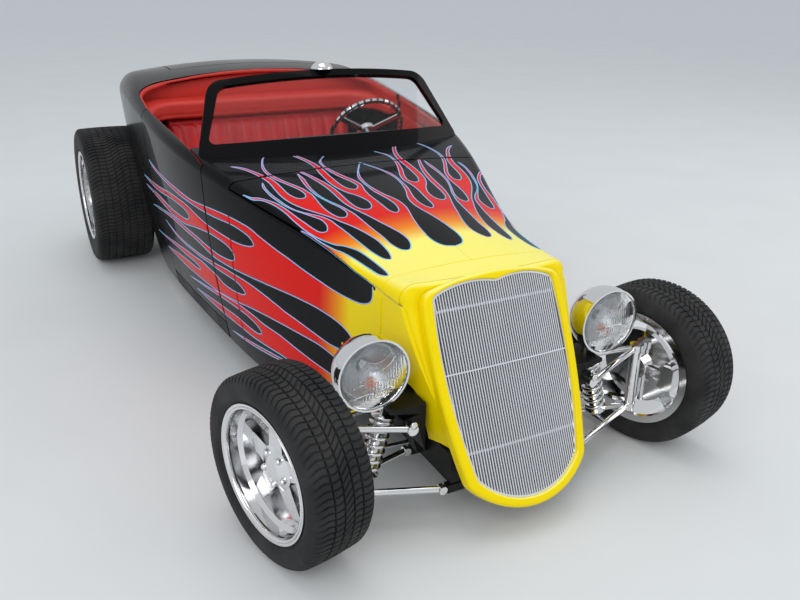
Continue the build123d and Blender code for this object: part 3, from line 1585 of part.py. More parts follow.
# Headlights: hollow buckets on stems from the towers, with their lenses
lamp_front_y = station(lamp_aft)
with BuildPart() as left_bucket:
    with BuildSketch(Plane.YZ.offset(lamp_x)):
        with BuildLine():
            outer_mid = (lamp_front_y + lamp_depth * 0.62, lamp_z + lamp_r * 0.84)
            inner_mid = (lamp_front_y + lamp_depth * 0.6, lamp_z + lamp_r * 0.84 - 2 * lamp_wall)
            front = (lamp_front_y, lamp_z + lamp_r)
            band_rear = (lamp_front_y + lamp_band, lamp_z + lamp_r)
            rear = (lamp_front_y + lamp_depth, lamp_z)
            rear_inside = (rear[0] - lamp_wall, lamp_z)
            band_inside = (band_rear[0], band_rear[1] - 2 * lamp_wall)
            seat_inside = (lamp_front_y + lens_seat, band_inside[1])
            seat_outside = (seat_inside[0], lamp_z + lamp_r - lamp_wall)
            Line(front, band_rear)
            ThreePointArc(band_rear, outer_mid, rear)
            Line(rear, rear_inside)
            ThreePointArc(rear_inside, inner_mid, band_inside)
            Polyline(band_inside, seat_inside, seat_outside, (lamp_front_y, seat_outside[1]), front)
        make_face()
    revolve(axis=Axis((lamp_x, lamp_front_y, lamp_z), (0, 1, 0)))
    stem_z = tower_top_z + fixed_gap
    with BuildSketch(Plane.XY.offset(stem_z)):
        with Locations((stem_x, station(stem_aft))):
            Circle(stem_r)
    extrude(until=Until.NEXT)
save_pair(left_bucket.part, "headlights")
lens_r = lamp_r - lamp_wall - fixed_gap
with BuildPart() as left_lens:
    with BuildSketch(Plane.YZ.offset(lamp_x)):
        with BuildLine():
            rear_y = lamp_front_y + lens_seat - fixed_gap
            Line((rear_y, lamp_z), (rear_y, lamp_z + lens_r))
            Line((rear_y, lamp_z + lens_r), (lamp_front_y + lens_edge, lamp_z + lens_r))
            middle = cap_middle(lens_r, lens_dome)
            ThreePointArc(
                (lamp_front_y + lens_edge, lamp_z + lens_r),
                (lamp_front_y + lens_edge - middle[1], lamp_z + middle[0]),
                (lamp_front_y + lens_edge - lens_dome, lamp_z),
            )
            Line((lamp_front_y + lens_edge - lens_dome, lamp_z), (rear_y, lamp_z))
        make_face()
    revolve(axis=Axis((lamp_x, lamp_front_y, lamp_z), (0, 1, 0)))
save_pair(left_lens.part, "headlight_lenses")

# Tail lamps and the blank plate on the tail panel
with BuildPart() as tail_lamps:
    for sign in (1, -1):
        with BuildSketch(cross_plane(tail_aft + fixed_gap)):
            with Locations((sign * tail_lamp_x, tail_lamp_z)):
                Circle(tail_lamp_r)
        extrude(amount=-tail_lamp_depth)
    fillet(tail_lamps.edges().group_by(Axis.Y)[-1], tail_lamp_depth * 0.4)
save(tail_lamps.part, "tail_lamps")
with BuildPart() as plate_bracket:
    with BuildSketch(cross_plane(tail_aft + fixed_gap)):
        with Locations((0.0, plate_z)):
            RectangleRounded(plate_width, plate_height, plate_corner_r)
    extrude(amount=-plate_thick)
    with BuildSketch(cross_plane(tail_aft + fixed_gap)):
        with Locations((0.0, plate_z)):
            with GridLocations(plate_bolt_x, plate_bolt_z, 2, 2):
                Circle(plate_bolt_r)
    extrude(amount=-plate_thick, mode=Mode.SUBTRACT)
save(plate_bracket.part, "plate_bracket")
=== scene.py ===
import json
from math import atan2, ceil, cos, hypot, pi, radians, sin, sqrt

import bmesh
import bpy
from bpy.props import FloatProperty, FloatVectorProperty, IntProperty, PointerProperty
from mathutils import Matrix, Vector, geometry
from mathutils.bvhtree import BVHTree

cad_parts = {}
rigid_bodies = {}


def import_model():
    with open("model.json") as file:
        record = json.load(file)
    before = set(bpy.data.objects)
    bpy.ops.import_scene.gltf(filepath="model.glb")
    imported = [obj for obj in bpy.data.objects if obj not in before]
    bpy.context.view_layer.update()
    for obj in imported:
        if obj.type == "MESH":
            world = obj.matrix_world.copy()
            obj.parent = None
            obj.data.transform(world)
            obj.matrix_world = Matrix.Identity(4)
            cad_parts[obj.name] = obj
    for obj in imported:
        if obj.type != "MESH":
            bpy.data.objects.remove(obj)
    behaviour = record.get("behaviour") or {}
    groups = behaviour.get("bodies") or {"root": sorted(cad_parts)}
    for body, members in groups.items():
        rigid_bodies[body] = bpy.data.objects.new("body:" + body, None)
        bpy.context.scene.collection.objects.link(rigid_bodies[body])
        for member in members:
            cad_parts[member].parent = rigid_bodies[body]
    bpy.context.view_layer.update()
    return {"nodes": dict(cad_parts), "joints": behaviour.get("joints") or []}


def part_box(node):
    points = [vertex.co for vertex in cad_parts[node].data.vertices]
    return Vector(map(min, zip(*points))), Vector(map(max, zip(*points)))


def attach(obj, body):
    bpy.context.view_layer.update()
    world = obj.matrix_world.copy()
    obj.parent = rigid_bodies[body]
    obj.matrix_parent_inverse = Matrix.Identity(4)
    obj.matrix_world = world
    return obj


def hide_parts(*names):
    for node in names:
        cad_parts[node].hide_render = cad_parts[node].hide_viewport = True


bl_info = {
    "name": "Street rod roadster",
    "version": (1, 0, 0),
    "blender": (4, 5, 0),
    "location": "View3D > Sidebar > Roadster",
    "description": "Dresses the packed roadster with paint, tread, leather, glass and a studio",
    "category": "Object",
}

for leftover in list(bpy.data.objects):
    bpy.data.objects.remove(leftover)
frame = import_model()
NODES = frame["nodes"]
JOINTS = {joint["name"]: joint for joint in frame["joints"]}
SIDES = (("left", 1.0), ("right", -1.0))
# From the front axle to the frame's centre, in metres.
AXLE_TO_CENTRE = 1.553
# How far paint and its line stand off a panel, and how far their edges reach below it.
PAINT_LIFT = 0.0006
STRIPE_LIFT = 0.0011
SKIRT_DEPTH = 0.0004
# The body's long axis: its height, and the radius that turns an angle round it into a length.
AXIS_Z = 0.42
AXIS_RADIUS = 0.45
# Rays start well outside the body; where one misses, the nearest skin is sought this far from the middle.
RAY_START = 2.0
MISS_REACH = 0.8
# Wheels: radius and width of the tyre, radius of the rim, half the width between the tyre's seats.
WHEEL_SIZES = {"front": (0.289, 0.200, 0.208, 0.080), "rear": (0.371, 0.308, 0.246, 0.134)}
TREAD_GROOVES = {
    "front": (-0.046, -0.0155, 0.0155, 0.046),
    "rear": (-0.094, -0.056, -0.0185, 0.0185, 0.056, 0.094),
}
HUB_FACES = {"front": 0.038, "rear": 0.074}

# Flame outline on the hood top and cowl, each row a curve from one sharp tip to the next.
# Points are (across, aft) in millimetres on the car's right, from the centre out to the seam.
TOP_LICKS = [
    [(57, 250), (25, 262), (8, 290), (2, 330), (4, 370), (8, 415), (19, 477), (32, 531), (38, 569),
     (37, 608), (27, 646), (11, 685), (-1, 731), (-9, 777), (-9, 823), (-1, 869), (15, 915), (38, 958),
     (55, 996)],
    [(55, 996), (8, 908), (-14, 854), (-18, 808), (-14, 731), (-7, 692), (5, 646), (11, 600), (8, 569),
     (1, 546), (-12, 533), (-25, 542), (-33, 565), (-35, 600), (-38, 638), (-42, 677), (-43, 708),
     (-41, 738), (-35, 769), (-32, 792), (-40, 831), (-55, 869), (-73, 915), (-88, 962), (-95, 1008),
     (-88, 1050), (-69, 1081), (-56, 1095)],
    [(-56, 1095), (-96, 1046), (-101, 1008), (-100, 969), (-91, 923), (-77, 877), (-61, 838), (-51, 800),
     (-52, 777), (-69, 760), (-88, 768), (-101, 792), (-108, 823), (-111, 861), (-114, 915), (-114, 961),
     (-117, 1000), (-127, 1046), (-142, 1088), (-165, 1131), (-196, 1155)],
    [(-196, 1155), (-169, 1115), (-154, 1077), (-142, 1038), (-138, 992), (-141, 946), (-142, 900),
     (-141, 854), (-135, 808), (-123, 769), (-108, 738), (-88, 708), (-73, 669), (-69, 638), (-77, 608),
     (-96, 596), (-119, 608), (-132, 638), (-138, 677), (-140, 715), (-142, 761), (-148, 808), (-158, 854),
     (-173, 900), (-188, 938), (-204, 973), (-221, 992)],
    [(-221, 992), (-200, 938), (-188, 900), (-177, 854), (-169, 808), (-165, 761), (-163, 715), (-158, 669),
     (-146, 623), (-131, 585), (-114, 538), (-100, 492), (-85, 446), (-71, 392), (-69, 346), (-80, 310),
     (-100, 287), (-125, 300), (-138, 346), (-140, 400), (-146, 454), (-151, 500), (-155, 546), (-160, 592),
     (-169, 623), (-181, 661), (-200, 700), (-215, 738), (-225, 777), (-229, 823), (-227, 869), (-223, 915),
     (-229, 961)],
    [(-229, 961), (-237, 900), (-240, 854), (-238, 808), (-232, 769), (-219, 731), (-204, 692), (-188, 654),
     (-181, 623), (-184, 600), (-200, 585), (-223, 596), (-238, 631), (-246, 669), (-248, 708), (-246, 746),
     (-246, 785), (-250, 800), (-261, 838), (-281, 877), (-300, 908), (-319, 946), (-335, 985),
     (-342, 1023), (-338, 1061), (-327, 1100), (-311, 1135), (-301, 1150)],
    [(-301, 1150), (-319, 1127), (-335, 1092), (-348, 1054), (-352, 1023), (-348, 985), (-335, 946),
     (-315, 908), (-296, 873), (-278, 838), (-271, 808), (-273, 785), (-288, 773), (-311, 781), (-327, 808),
     (-335, 838), (-338, 877), (-342, 915), (-350, 954), (-369, 992), (-392, 1031), (-419, 1069),
     (-446, 1092), (-473, 1104)],
    [(-473, 1104), (-435, 1069), (-411, 1035), (-392, 996), (-377, 954), (-371, 915), (-371, 869),
     (-367, 815), (-354, 769), (-335, 731), (-315, 700), (-292, 669), (-269, 638), (-250, 608), (-231, 569),
     (-211, 531), (-192, 485), (-178, 438), (-169, 392), (-169, 346), (-175, 300), (-192, 265), (-215, 285),
     (-227, 346), (-232, 400), (-238, 454), (-245, 508), (-254, 554), (-261, 592), (-281, 631), (-308, 661),
     (-338, 692), (-361, 723), (-377, 761), (-388, 800), (-398, 838), (-404, 885), (-398, 938)],
    [(-398, 938), (-411, 908), (-411, 869), (-408, 838), (-398, 800), (-385, 761), (-365, 723), (-338, 685),
     (-311, 646), (-292, 615), (-288, 585), (-294, 560), (-311, 542), (-335, 554), (-350, 592), (-360, 631),
     (-371, 669), (-381, 708), (-392, 746), (-408, 785), (-431, 815), (-458, 842), (-485, 865),
     (-506, 904)],
    [(-506, 904), (-485, 854), (-454, 823), (-427, 785), (-411, 746), (-401, 708), (-396, 669), (-388, 623),
     (-377, 577), (-361, 531), (-342, 492), (-319, 454), (-296, 431), (-269, 385), (-260, 346), (-257, 300),
     (-258, 250), (-265, 200), (-282, 170), (-300, 200), (-302, 250), (-305, 300), (-310, 350), (-322, 400),
     (-340, 440), (-360, 500), (-385, 560), (-412, 610)],
]
# Stations along the seam where a strip of flame ends on the hood's edge.
SEAM_AFTS = (610, 560, 510, 460, 410, 360, 310, 260, 230, 205)
# Flame outline on the flanks, from the seam down: points are (aft, height) in millimetres.
SIDE_LICKS = [
    [(202, 654), (208, 635), (227, 619), (260, 608), (298, 604), (363, 604), (427, 609), (492, 619),
     (556, 630), (602, 640), (653, 652), (702, 662), (800, 688), (850, 704), (900, 713), (1000, 721),
     (1100, 722), (1200, 719), (1300, 717), (1400, 725), (1500, 732), (1600, 738), (1700, 745), (1800, 756),
     (1860, 763)],
    [(1860, 763), (1800, 744), (1700, 732), (1600, 724), (1500, 715), (1400, 705), (1300, 700), (1200, 695),
     (1100, 692), (1000, 693), (950, 690), (900, 682), (860, 670), (837, 650), (855, 638), (900, 630),
     (950, 628), (1000, 630), (1100, 638), (1170, 645), (1240, 657), (1300, 670), (1360, 680), (1450, 684),
     (1550, 683), (1650, 675), (1750, 665), (1890, 655), (2000, 648), (2100, 640)],
    [(2100, 640), (1890, 638), (1750, 642), (1650, 650), (1550, 658), (1450, 658), (1400, 655), (1360, 645),
     (1345, 630), (1360, 617), (1400, 608), (1500, 605), (1600, 606), (1700, 612), (1800, 615), (1900, 610),
     (2090, 595)],
    [(2090, 595), (1890, 595), (1800, 592), (1700, 585), (1600, 578), (1500, 577), (1450, 578), (1400, 582),
     (1350, 590), (1300, 598), (1250, 603), (1200, 608), (1150, 610), (1100, 608), (1050, 603), (1010, 595),
     (985, 583), (970, 565), (980, 548), (1010, 540), (1050, 537), (1100, 536), (1150, 540), (1200, 545),
     (1300, 557), (1400, 563), (1500, 567), (1600, 568), (1700, 560), (1800, 548), (1890, 535),
     (2000, 515)],
    [(2000, 515), (1800, 538), (1700, 548), (1600, 553), (1500, 550), (1400, 545), (1300, 537), (1200, 520),
     (1160, 513), (1100, 510), (1000, 510), (900, 513), (800, 516), (700, 519), (602, 521), (498, 519),
     (447, 515), (395, 509), (350, 499), (318, 486), (298, 470), (292, 451), (305, 435), (331, 419),
     (363, 411), (402, 409), (447, 414), (498, 422), (550, 430), (602, 438), (653, 445), (702, 455),
     (800, 473), (900, 485), (1000, 488), (1050, 489), (1100, 487), (1200, 482), (1300, 478), (1400, 478),
     (1500, 478), (1600, 483), (1700, 495), (1760, 503)],
    [(1760, 503), (1650, 480), (1600, 473), (1500, 467), (1400, 467), (1300, 465), (1200, 467), (1100, 463),
     (1000, 462), (950, 453), (917, 433), (935, 420), (980, 413), (1030, 410), (1100, 413), (1140, 425),
     (1200, 435), (1250, 440), (1300, 445), (1400, 440), (1500, 435), (1600, 425), (1700, 415), (1890, 390),
     (2050, 370)],
    [(2050, 370), (1700, 400), (1500, 408), (1400, 410), (1345, 400), (1360, 390), (1400, 385), (1550, 378),
     (1700, 362), (1880, 335)],
    [(1880, 335), (1600, 335), (1450, 340), (1300, 345), (1170, 350), (1100, 358), (1000, 368), (900, 380),
     (800, 387), (700, 390), (602, 390), (498, 388), (447, 384), (395, 373), (362, 360), (345, 330),
     (352, 308), (370, 296), (395, 296), (447, 303), (498, 309), (550, 317), (602, 325), (653, 333),
     (702, 340), (800, 345), (850, 352), (900, 357), (980, 360), (1050, 357), (1150, 350), (1200, 342),
     (1300, 328), (1400, 315), (1560, 290)],
    [(1560, 290), (1200, 328), (1100, 335), (1030, 337), (950, 337), (900, 332), (855, 322), (822, 302),
     (835, 290), (870, 284), (950, 288), (1030, 293), (1150, 288), (1300, 275), (1500, 250)],
    [(1500, 250), (1200, 252), (1000, 255), (900, 252), (800, 255), (702, 258), (650, 256), (640, 251),
     (660, 246), (700, 243), (800, 234), (950, 216), (1110, 195)],
    [(1110, 195), (950, 206), (800, 221), (700, 232), (640, 240), (600, 247), (550, 254), (498, 260),
     (447, 261), (395, 259)],
]
# Ends of the painted part and its lowest corner on the flank, in millimetres.
FLAME_FRONT_AFT = 150.0
FLAME_REAR_AFT = 2130.0
FLAME_LOW_X = 240.0
FLAME_LOW_Z = 262.0
NOTCH_EDGE_AFT = 330.0
# The hood's middle in the top table, the distance within which a point counts as on it, and the hood's
# half width with its growth and the station where it holds.
CENTRE_SHIFT = 57.0
CENTRE_SNAP = 3.0
HALF_WIDTH = (334.0, 0.30, 300.0)
# Stations between which the flames go from yellow to red.
FLANK_FADE = (260, 522)
# CROWN_FADE ramps the paler top copy of the flame colours, which is a painted sky highlight.
CROWN_FADE = (255, 600)
# Spacing of the outline and of the paint's points, and margins at a panel's edge, in metres.
LINE_SPACING = 0.008
HOOD_GRID = 0.006
PANEL_GRID = 0.012
EDGE_MARGIN = 0.0015
HINGE_MARGIN = 0.003


def linear(red, green, blue):
    """Linear colour of a display colour given from 0 to 255."""
    return tuple(((c / 255 + 0.055) / 1.055) ** 2.4 if c > 10 else c / 3295 for c in (red, green, blue))


def station(aft):
    """The frame's y of a distance aft of the front axle, in millimetres."""
    return aft / 1000 - AXLE_TO_CENTRE


# Settings

class StageSettings(bpy.types.PropertyGroup):
    floor_color: FloatVectorProperty(
        name="Floor", description="Colour of the studio floor", subtype="COLOR",
        default=linear(222, 222, 220))
    sky_color: FloatVectorProperty(
        name="Surround", description="Colour of the light all round", subtype="COLOR",
        default=linear(225, 232, 240))
    backdrop: FloatVectorProperty(
        name="Backdrop", description="Colour seen behind the floor", subtype="COLOR",
        default=linear(204, 206, 208))
    sky_strength: FloatProperty(
        name="Surround strength", description="Brightness of the light all round", default=0.88, min=0.0)
    key_power: FloatProperty(
        name="Key lamp", description="Power of the lamp ahead of the car", subtype="POWER",
        default=270.0, min=0.0)
    top_power: FloatProperty(
        name="Top lamp", description="Power of the lamp overhead", subtype="POWER", default=110.0, min=0.0)
    focal_length: FloatProperty(
        name="Focal length", description="Lens of the camera in millimetres, on a 36 mm wide sensor",
        default=35.87)


class PaintSettings(bpy.types.PropertyGroup):
    black: FloatVectorProperty(
        name="Black", description="Body colour", subtype="COLOR", default=linear(4, 4, 6))
    side_yellow: FloatVectorProperty(
        name="Nose yellow", description="Flame colour at the nose", subtype="COLOR",
        default=linear(246, 218, 6))
    # The top's paler flame colour is a painted sky highlight, mixed in where the surface faces up.
    top_highlight_yellow: FloatVectorProperty(
        name="Top highlight yellow", description="Flame colour on the nose's top", subtype="COLOR",
        default=linear(250, 238, 116))
    orange: FloatVectorProperty(
        name="Orange", description="Flame colour between yellow and red", subtype="COLOR",
        default=linear(236, 130, 18))
    red: FloatVectorProperty(
        name="Red", description="Flame colour at the tips", subtype="COLOR", default=linear(218, 22, 12))
    stripe: FloatVectorProperty(
        name="Stripe", description="Colour of the line round the flames", subtype="COLOR",
        default=linear(120, 196, 236))
    stripe_pale: FloatVectorProperty(
        name="Pale stripe", description="Colour of that line over red", subtype="COLOR",
        default=linear(176, 178, 228))
    stripe_width: FloatProperty(
        name="Stripe width", description="Width of the line round the flames", subtype="DISTANCE",
        default=0.0038)


class LeatherSettings(bpy.types.PropertyGroup):
    red: FloatVectorProperty(
        name="Leather", description="Colour of the seat and trim", subtype="COLOR",
        default=linear(205, 18, 24))
    pleats: IntProperty(name="Pleats", description="Channels across the seat", default=13, min=1)
    pleat_depth: FloatProperty(
        name="Pleat depth", description="How far a seam sinks between two channels", subtype="DISTANCE",
        default=0.013)
    voxel: FloatProperty(
        name="Mesh size", description="Size of the cushions' faces", subtype="DISTANCE", default=0.0075)


class TyreSettings(bpy.types.PropertyGroup):
    groove_depth: FloatProperty(
        name="Groove depth", description="Depth of the grooves round the tyre", subtype="DISTANCE",
        default=0.007)
    sipe_depth: FloatProperty(
        name="Cut depth", description="Depth of the cuts across the tread", subtype="DISTANCE",
        default=0.0045)
    pitch: FloatProperty(
        name="Cut spacing", description="Distance from one cut across the tread to the next",
        subtype="DISTANCE",
        default=0.021)


# Node materials

def new_finish(name, color, roughness, metallic=0.0, **sockets):
    """A material whose shader has these constants; a socket's name is written with _ for its spaces."""
    material = bpy.data.materials.new(name)
    material.use_nodes = True
    inputs = shader_of(material).inputs
    inputs["Base Color"].default_value = (*color[:3], 1.0)
    inputs["Roughness"].default_value = roughness
    inputs["Metallic"].default_value = metallic
    for socket, value in sockets.items():
        inputs[socket.replace("_", " ")].default_value = value
    return material


def shader_of(material):
    """The material's surface shader."""
    return material.node_tree.nodes["Principled BSDF"]


def add_node(material, kind, links=(), **settings):
    """A new node in a material or the world, with its settings made and its inputs linked or set."""
    node = material.node_tree.nodes.new(kind)
    for key, value in settings.items():
        setattr(node, key, value)
    for socket, value in links:
        if isinstance(value, bpy.types.NodeSocket):
            material.node_tree.links.new(value, node.inputs[socket])
        else:
            node.inputs[socket].default_value = value
    return node


def object_place(material):
    """The point on the piece, in the car's frame."""
    return add_node(material, "ShaderNodeTexCoord").outputs["Object"]


def noise(material, scale, detail=2.0):
    """Cloudy value from 0 to 1."""
    links = [("Vector", object_place(material)), ("Scale", scale), ("Detail", detail)]
    return add_node(material, "ShaderNodeTexNoise", links).outputs["Fac"]


def spread(material, value, low, high, start=0.0, end=1.0):
    """Value from start to end turned into one from low to high."""
    links = [("Value", value), ("From Min", start), ("From Max", end), ("To Min", low), ("To Max", high)]
    return add_node(material, "ShaderNodeMapRange", links).outputs["Result"]


def arithmetic(material, operation, first, second):
    """Sum, product or comparison of two values."""
    return add_node(material, "ShaderNodeMath", [(0, first), (1, second)], operation=operation).outputs[0]


def mixed(material, share, first, second):
    """Colour between two colours or sockets."""
    node = add_node(material, "ShaderNodeMix", data_type="RGBA")
    pairs = ((node.inputs["Factor"], share), (node.inputs[6], first), (node.inputs[7], second))
    for socket, value in pairs:
        if isinstance(value, bpy.types.NodeSocket):
            material.node_tree.links.new(value, socket)
        else:
            socket.default_value = (*value[:3], 1.0) if socket.type == "RGBA" else value
    return node.outputs[2]


def set_input(material, socket, value):
    """Links a value to the shader."""
    material.node_tree.links.new(value, shader_of(material).inputs[socket])


def uneven_roughness(material, scale, low, high):
    """Roughness that drifts over the surface."""
    set_input(material, "Roughness", spread(material, noise(material, scale), low, high, 0.3, 0.7))


def relief(material, height, depth, strength=1.0):
    """Fine bumps of that depth in metres."""
    links = [("Height", height), ("Distance", depth), ("Strength", strength)]
    set_input(material, "Normal", add_node(material, "ShaderNodeBump", links).outputs["Normal"])


def grained(material, scale, depth, strength=1.0, detail=2.0):
    """Fine bumps that follow a cloudy value."""
    relief(material, noise(material, scale, detail), depth, strength)


def patchy(material, scale, detail, start, end, first, second):
    """Base colour that goes from first to second as a cloudy value goes from start to end."""
    share = spread(material, noise(material, scale, detail), 0.0, 1.0, start, end)
    set_input(material, "Base Color", mixed(material, share, first, second))


def grain_height(material, scale):
    """Cells of leather grain."""
    links = [("Vector", object_place(material)), ("Scale", scale)]
    return add_node(material, "ShaderNodeTexVoronoi", links).outputs["Distance"]


def nearer(first, second):
    """Colour two thirds of the way from one to another."""
    return tuple((a + 2 * b) / 3 for a, b in zip(first, second))


def fire_ramp(material, along, yellow, orange, red):
    """Colour from yellow to red along the car."""
    node = add_node(material, "ShaderNodeValToRGB", [("Fac", along)])
    stops = node.color_ramp.elements
    for stop, position, color in ((stops[0], 0.22, yellow), (stops[1], 0.80, red)):
        stop.position = position
        stop.color = (*color, 1.0)
    for position, color in ((0.38, nearer(yellow, orange)), (0.50, orange), (0.66, nearer(orange, red))):
        stops.new(position).color = (*color, 1.0)
    return node.outputs["Color"]


def fire_color(material, paint):
    """Flame colour by place, paler where the surface looks up: a painted sky highlight on the top."""
    place = add_node(material, "ShaderNodeSeparateXYZ", [("Vector", object_place(material))])
    drift = spread(material, noise(material, 3.0), -0.02, 0.02)
    y = arithmetic(material, "ADD", place.outputs["Y"], drift)
    flank = spread(material, y, 0.0, 1.0, *map(station, FLANK_FADE))
    crown = spread(material, y, 0.0, 1.0, *map(station, CROWN_FADE))
    side = fire_ramp(material, flank, paint.side_yellow, paint.orange, paint.red)
    # The top ramp is a paler copy of the flank ramp: painted sky highlight, mixed in below where the
    # surface faces up.
    top = fire_ramp(material, crown, paint.top_highlight_yellow, paint.orange, paint.red)
    facing = add_node(material, "ShaderNodeTexCoord").outputs["Normal"]
    up = add_node(material, "ShaderNodeSeparateXYZ", [("Vector", facing)]).outputs["Z"]
    return mixed(material, spread(material, up, 0.0, 1.0, 0.55, 0.9), side, top)


def clear_coated(name, color):
    """Glossy car paint with a clear coat and a trace of ripple."""
    material = new_finish(name, color, 0.30, Specular_IOR_Level=0.05, Coat_Weight=0.45, Coat_Roughness=0.02,
                          Coat_IOR=1.25)
    grained(material, 420.0, 0.00002, 0.4)
    uneven_roughness(material, 3.0, 0.22, 0.34)
    return material


def fire_paint(paint):
    """Flame paint of the decals and the grille shell."""
    material = clear_coated("flame_paint", paint.side_yellow)
    set_input(material, "Base Color", fire_color(material, paint))
    return material


def nose_paint(name, paint, first_aft, low_z, second_aft):
    """Black paint with the flame colour ahead of a line that steps back below a height."""
    material = clear_coated(name, paint.black)
    place = add_node(material, "ShaderNodeSeparateXYZ", [("Vector", object_place(material))])
    ahead = arithmetic(material, "LESS_THAN", place.outputs["Y"], station(first_aft))
    low = arithmetic(material, "LESS_THAN", place.outputs["Z"], low_z)
    near = arithmetic(material, "LESS_THAN", place.outputs["Y"], station(second_aft))
    fire = arithmetic(material, "MAXIMUM", ahead, arithmetic(material, "MULTIPLY", low, near))
    set_input(material, "Base Color", mixed(material, fire, paint.black, fire_color(material, paint)))
    return material


def stripe_paint(paint):
    """Paint of the line round the flames, paler in patches."""
    material = clear_coated("stripe_paint", paint.stripe)
    patchy(material, 6.0, 2.0, 0.42, 0.58, paint.stripe, paint.stripe_pale)
    return material


def polished(name, tone, low, high):
    """Bright metal whose polish drifts a little."""
    material = new_finish(name, tone, low, 1.0)
    uneven_roughness(material, 14.0, low, high)
    grained(material, 900.0, 0.000008, 0.3)
    return material


def rough_metal(name, tone, roughness, scale, depth, metallic=0.8):
    """Cast or plain metal."""
    material = new_finish(name, tone, roughness, metallic)
    grained(material, scale, depth, detail=6.0)
    uneven_roughness(material, scale / 8, roughness * 0.8, roughness * 1.2)
    return material


def rubber():
    """Tyre rubber, dusty in patches."""
    material = new_finish("tyre_rubber", linear(34, 34, 36), 0.72, Specular_IOR_Level=0.35)
    patchy(material, 9.0, 5.0, 0.35, 0.75, linear(26, 26, 28), linear(52, 51, 50))
    grained(material, 700.0, 0.00015, 0.6, 3.0)
    return material


def leather(color):
    """Smooth red leather with fine grain and a soft sheen."""
    material = new_finish("red_leather", color, 0.40, Sheen_Weight=0.12, Specular_IOR_Level=0.45)
    patchy(material, 7.0, 4.0, 0.3, 0.7, tuple(c * 0.78 for c in color), color)
    relief(material, grain_height(material, 520.0), 0.00025, 0.5)
    uneven_roughness(material, 18.0, 0.34, 0.48)
    return material


def glass(name, tint, index, opacity=1.0):
    """Clear glass with a trace of waviness; a thin pane lets light straight through."""
    material = new_finish(name, tint, 0.0, Transmission_Weight=1.0, IOR=index, Alpha=opacity,
                          Coat_Weight=1.0, Coat_IOR=1.5, Coat_Roughness=0.0)
    grained(material, 60.0, 0.00001, 0.2)
    return material


def dress(finish, *nodes):
    """Puts a finish on CAD nodes."""
    for node in nodes:
        slots = NODES[node].data.materials
        if not slots:
            slots.append(finish)
        for index in range(len(slots)):
            slots[index] = finish


# Meshes

def new_piece(name, points, faces, finish, body, slot, smooth=True):
    """A mesh piece that rides on a body and takes a finish."""
    mesh = bpy.data.meshes.new(name)
    mesh.from_pydata([tuple(p) for p in points], [], faces)
    mesh.validate()
    mesh.update()
    return settle(bpy.data.objects.new(name, mesh), finish, body, smooth)


def settle(piece, finish, body, smooth=True):
    """Links a new piece, shades it and fixes it to its body."""
    if piece.name not in bpy.context.scene.collection.objects:
        bpy.context.scene.collection.objects.link(piece)
    piece.data.materials.clear()
    piece.data.materials.append(finish)
    piece.data.polygons.foreach_set("use_smooth", [smooth] * len(piece.data.polygons))
    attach(piece, body)
    return piece


def curve_through(points, spacing):
    """Smooth line through points, its samples about spacing apart."""
    padded = [points[0], *points, points[-1]]
    line = []
    for p0, p1, p2, p3 in zip(padded, padded[1:], padded[2:], padded[3:]):
        count = max(2, ceil(hypot(p2[0] - p1[0], p2[1] - p1[1]) / spacing))
        for step in range(count):
            t = step / count
            line.append(tuple(
                0.5 * (2 * b + (c - a) * t + (2 * a - 5 * b + 4 * c - d) * t * t
                       + (3 * b - a - 3 * c + d) * t ** 3)
                for a, b, c, d in zip(p0, p1, p2, p3)))
    line.append(tuple(points[-1]))
    return line


def ring_faces(rows, columns, closed_rows=True, closed_columns=False):
    """Quads of a grid whose points are listed row by row."""
    faces = []
    for r in range(rows if closed_rows else rows - 1):
        row, next_row = r * columns, (r + 1) % rows * columns
        for c in range(columns if closed_columns else columns - 1):
            after = (c + 1) % columns
            faces.append((row + c, row + after, next_row + after, next_row + c))
    return faces


def capped(rows, sides, flip=False):
    """Faces of a tube whose points are listed row by row, with a face over each end."""
    first = tuple(range(sides))
    last = tuple((rows - 1) * sides + k for k in range(sides))
    ends = [first, last[::-1]] if flip else [first[::-1], last]
    return ring_faces(rows, sides, False, True) + ends


def turned(section, place, segments, closed=False):
    """Points of an (x, radius) section turned about the place's X axis, and its faces."""
    points = []
    for step in range(segments):
        angle = 2 * pi * step / segments
        points += [place @ Vector((x, r * cos(angle), r * sin(angle))) for x, r in section]
    return points, ring_faces(segments, len(section), True, closed)


def joined(parts):
    """One list of points and faces out of several."""
    points, faces = [], []
    for part_points, part_faces in parts:
        start = len(points)
        points += part_points
        faces += [tuple(start + i for i in face) for face in part_faces]
    return points, faces


def tube(path, radius, sides=10):
    """Closed round tube along a list of points."""
    points = []
    count = len(path)
    side = Vector((0.0, 0.0, 1.0))
    for index, spot in enumerate(path):
        way = (path[min(index + 1, count - 1)] - path[max(index - 1, 0)]).normalized()
        side = (side - way * side.dot(way)).normalized()
        if side.length < 0.5:
            side = way.orthogonal().normalized()
        up = way.cross(side)
        for k in range(sides):
            angle = 2 * pi * k / sides
            points.append(spot + (side * cos(angle) + up * sin(angle)) * radius)
    return points, capped(count, sides, flip=True)


def last_inside(inside, outside, holds, rounds):
    """Between a place where a test holds and one where it fails, the last found where it holds."""
    for _ in range(rounds):
        middle = (inside + outside) / 2
        if holds(middle):
            inside = middle
        else:
            outside = middle
    return inside


def axis_place(centre, way):
    """Matrix that puts X along a way at a centre, with Z as near up as it goes."""
    x = Vector(way).normalized()
    up = Vector((0.0, 0.0, 1.0)) if abs(x.z) < 0.9 else Vector((0.0, 1.0, 0.0))
    y = up.cross(x).normalized()
    z = x.cross(y)
    matrix = Matrix((x, y, z)).transposed().to_4x4()
    matrix.translation = Vector(centre)
    return matrix


def wheel_place(joint, outward):
    """The frame of a wheel, X outward, from its roll joint."""
    data = JOINTS[joint]
    return axis_place(data["pos_m"], Vector(data["axis"]) * outward)


# Body skin that the flames lie on

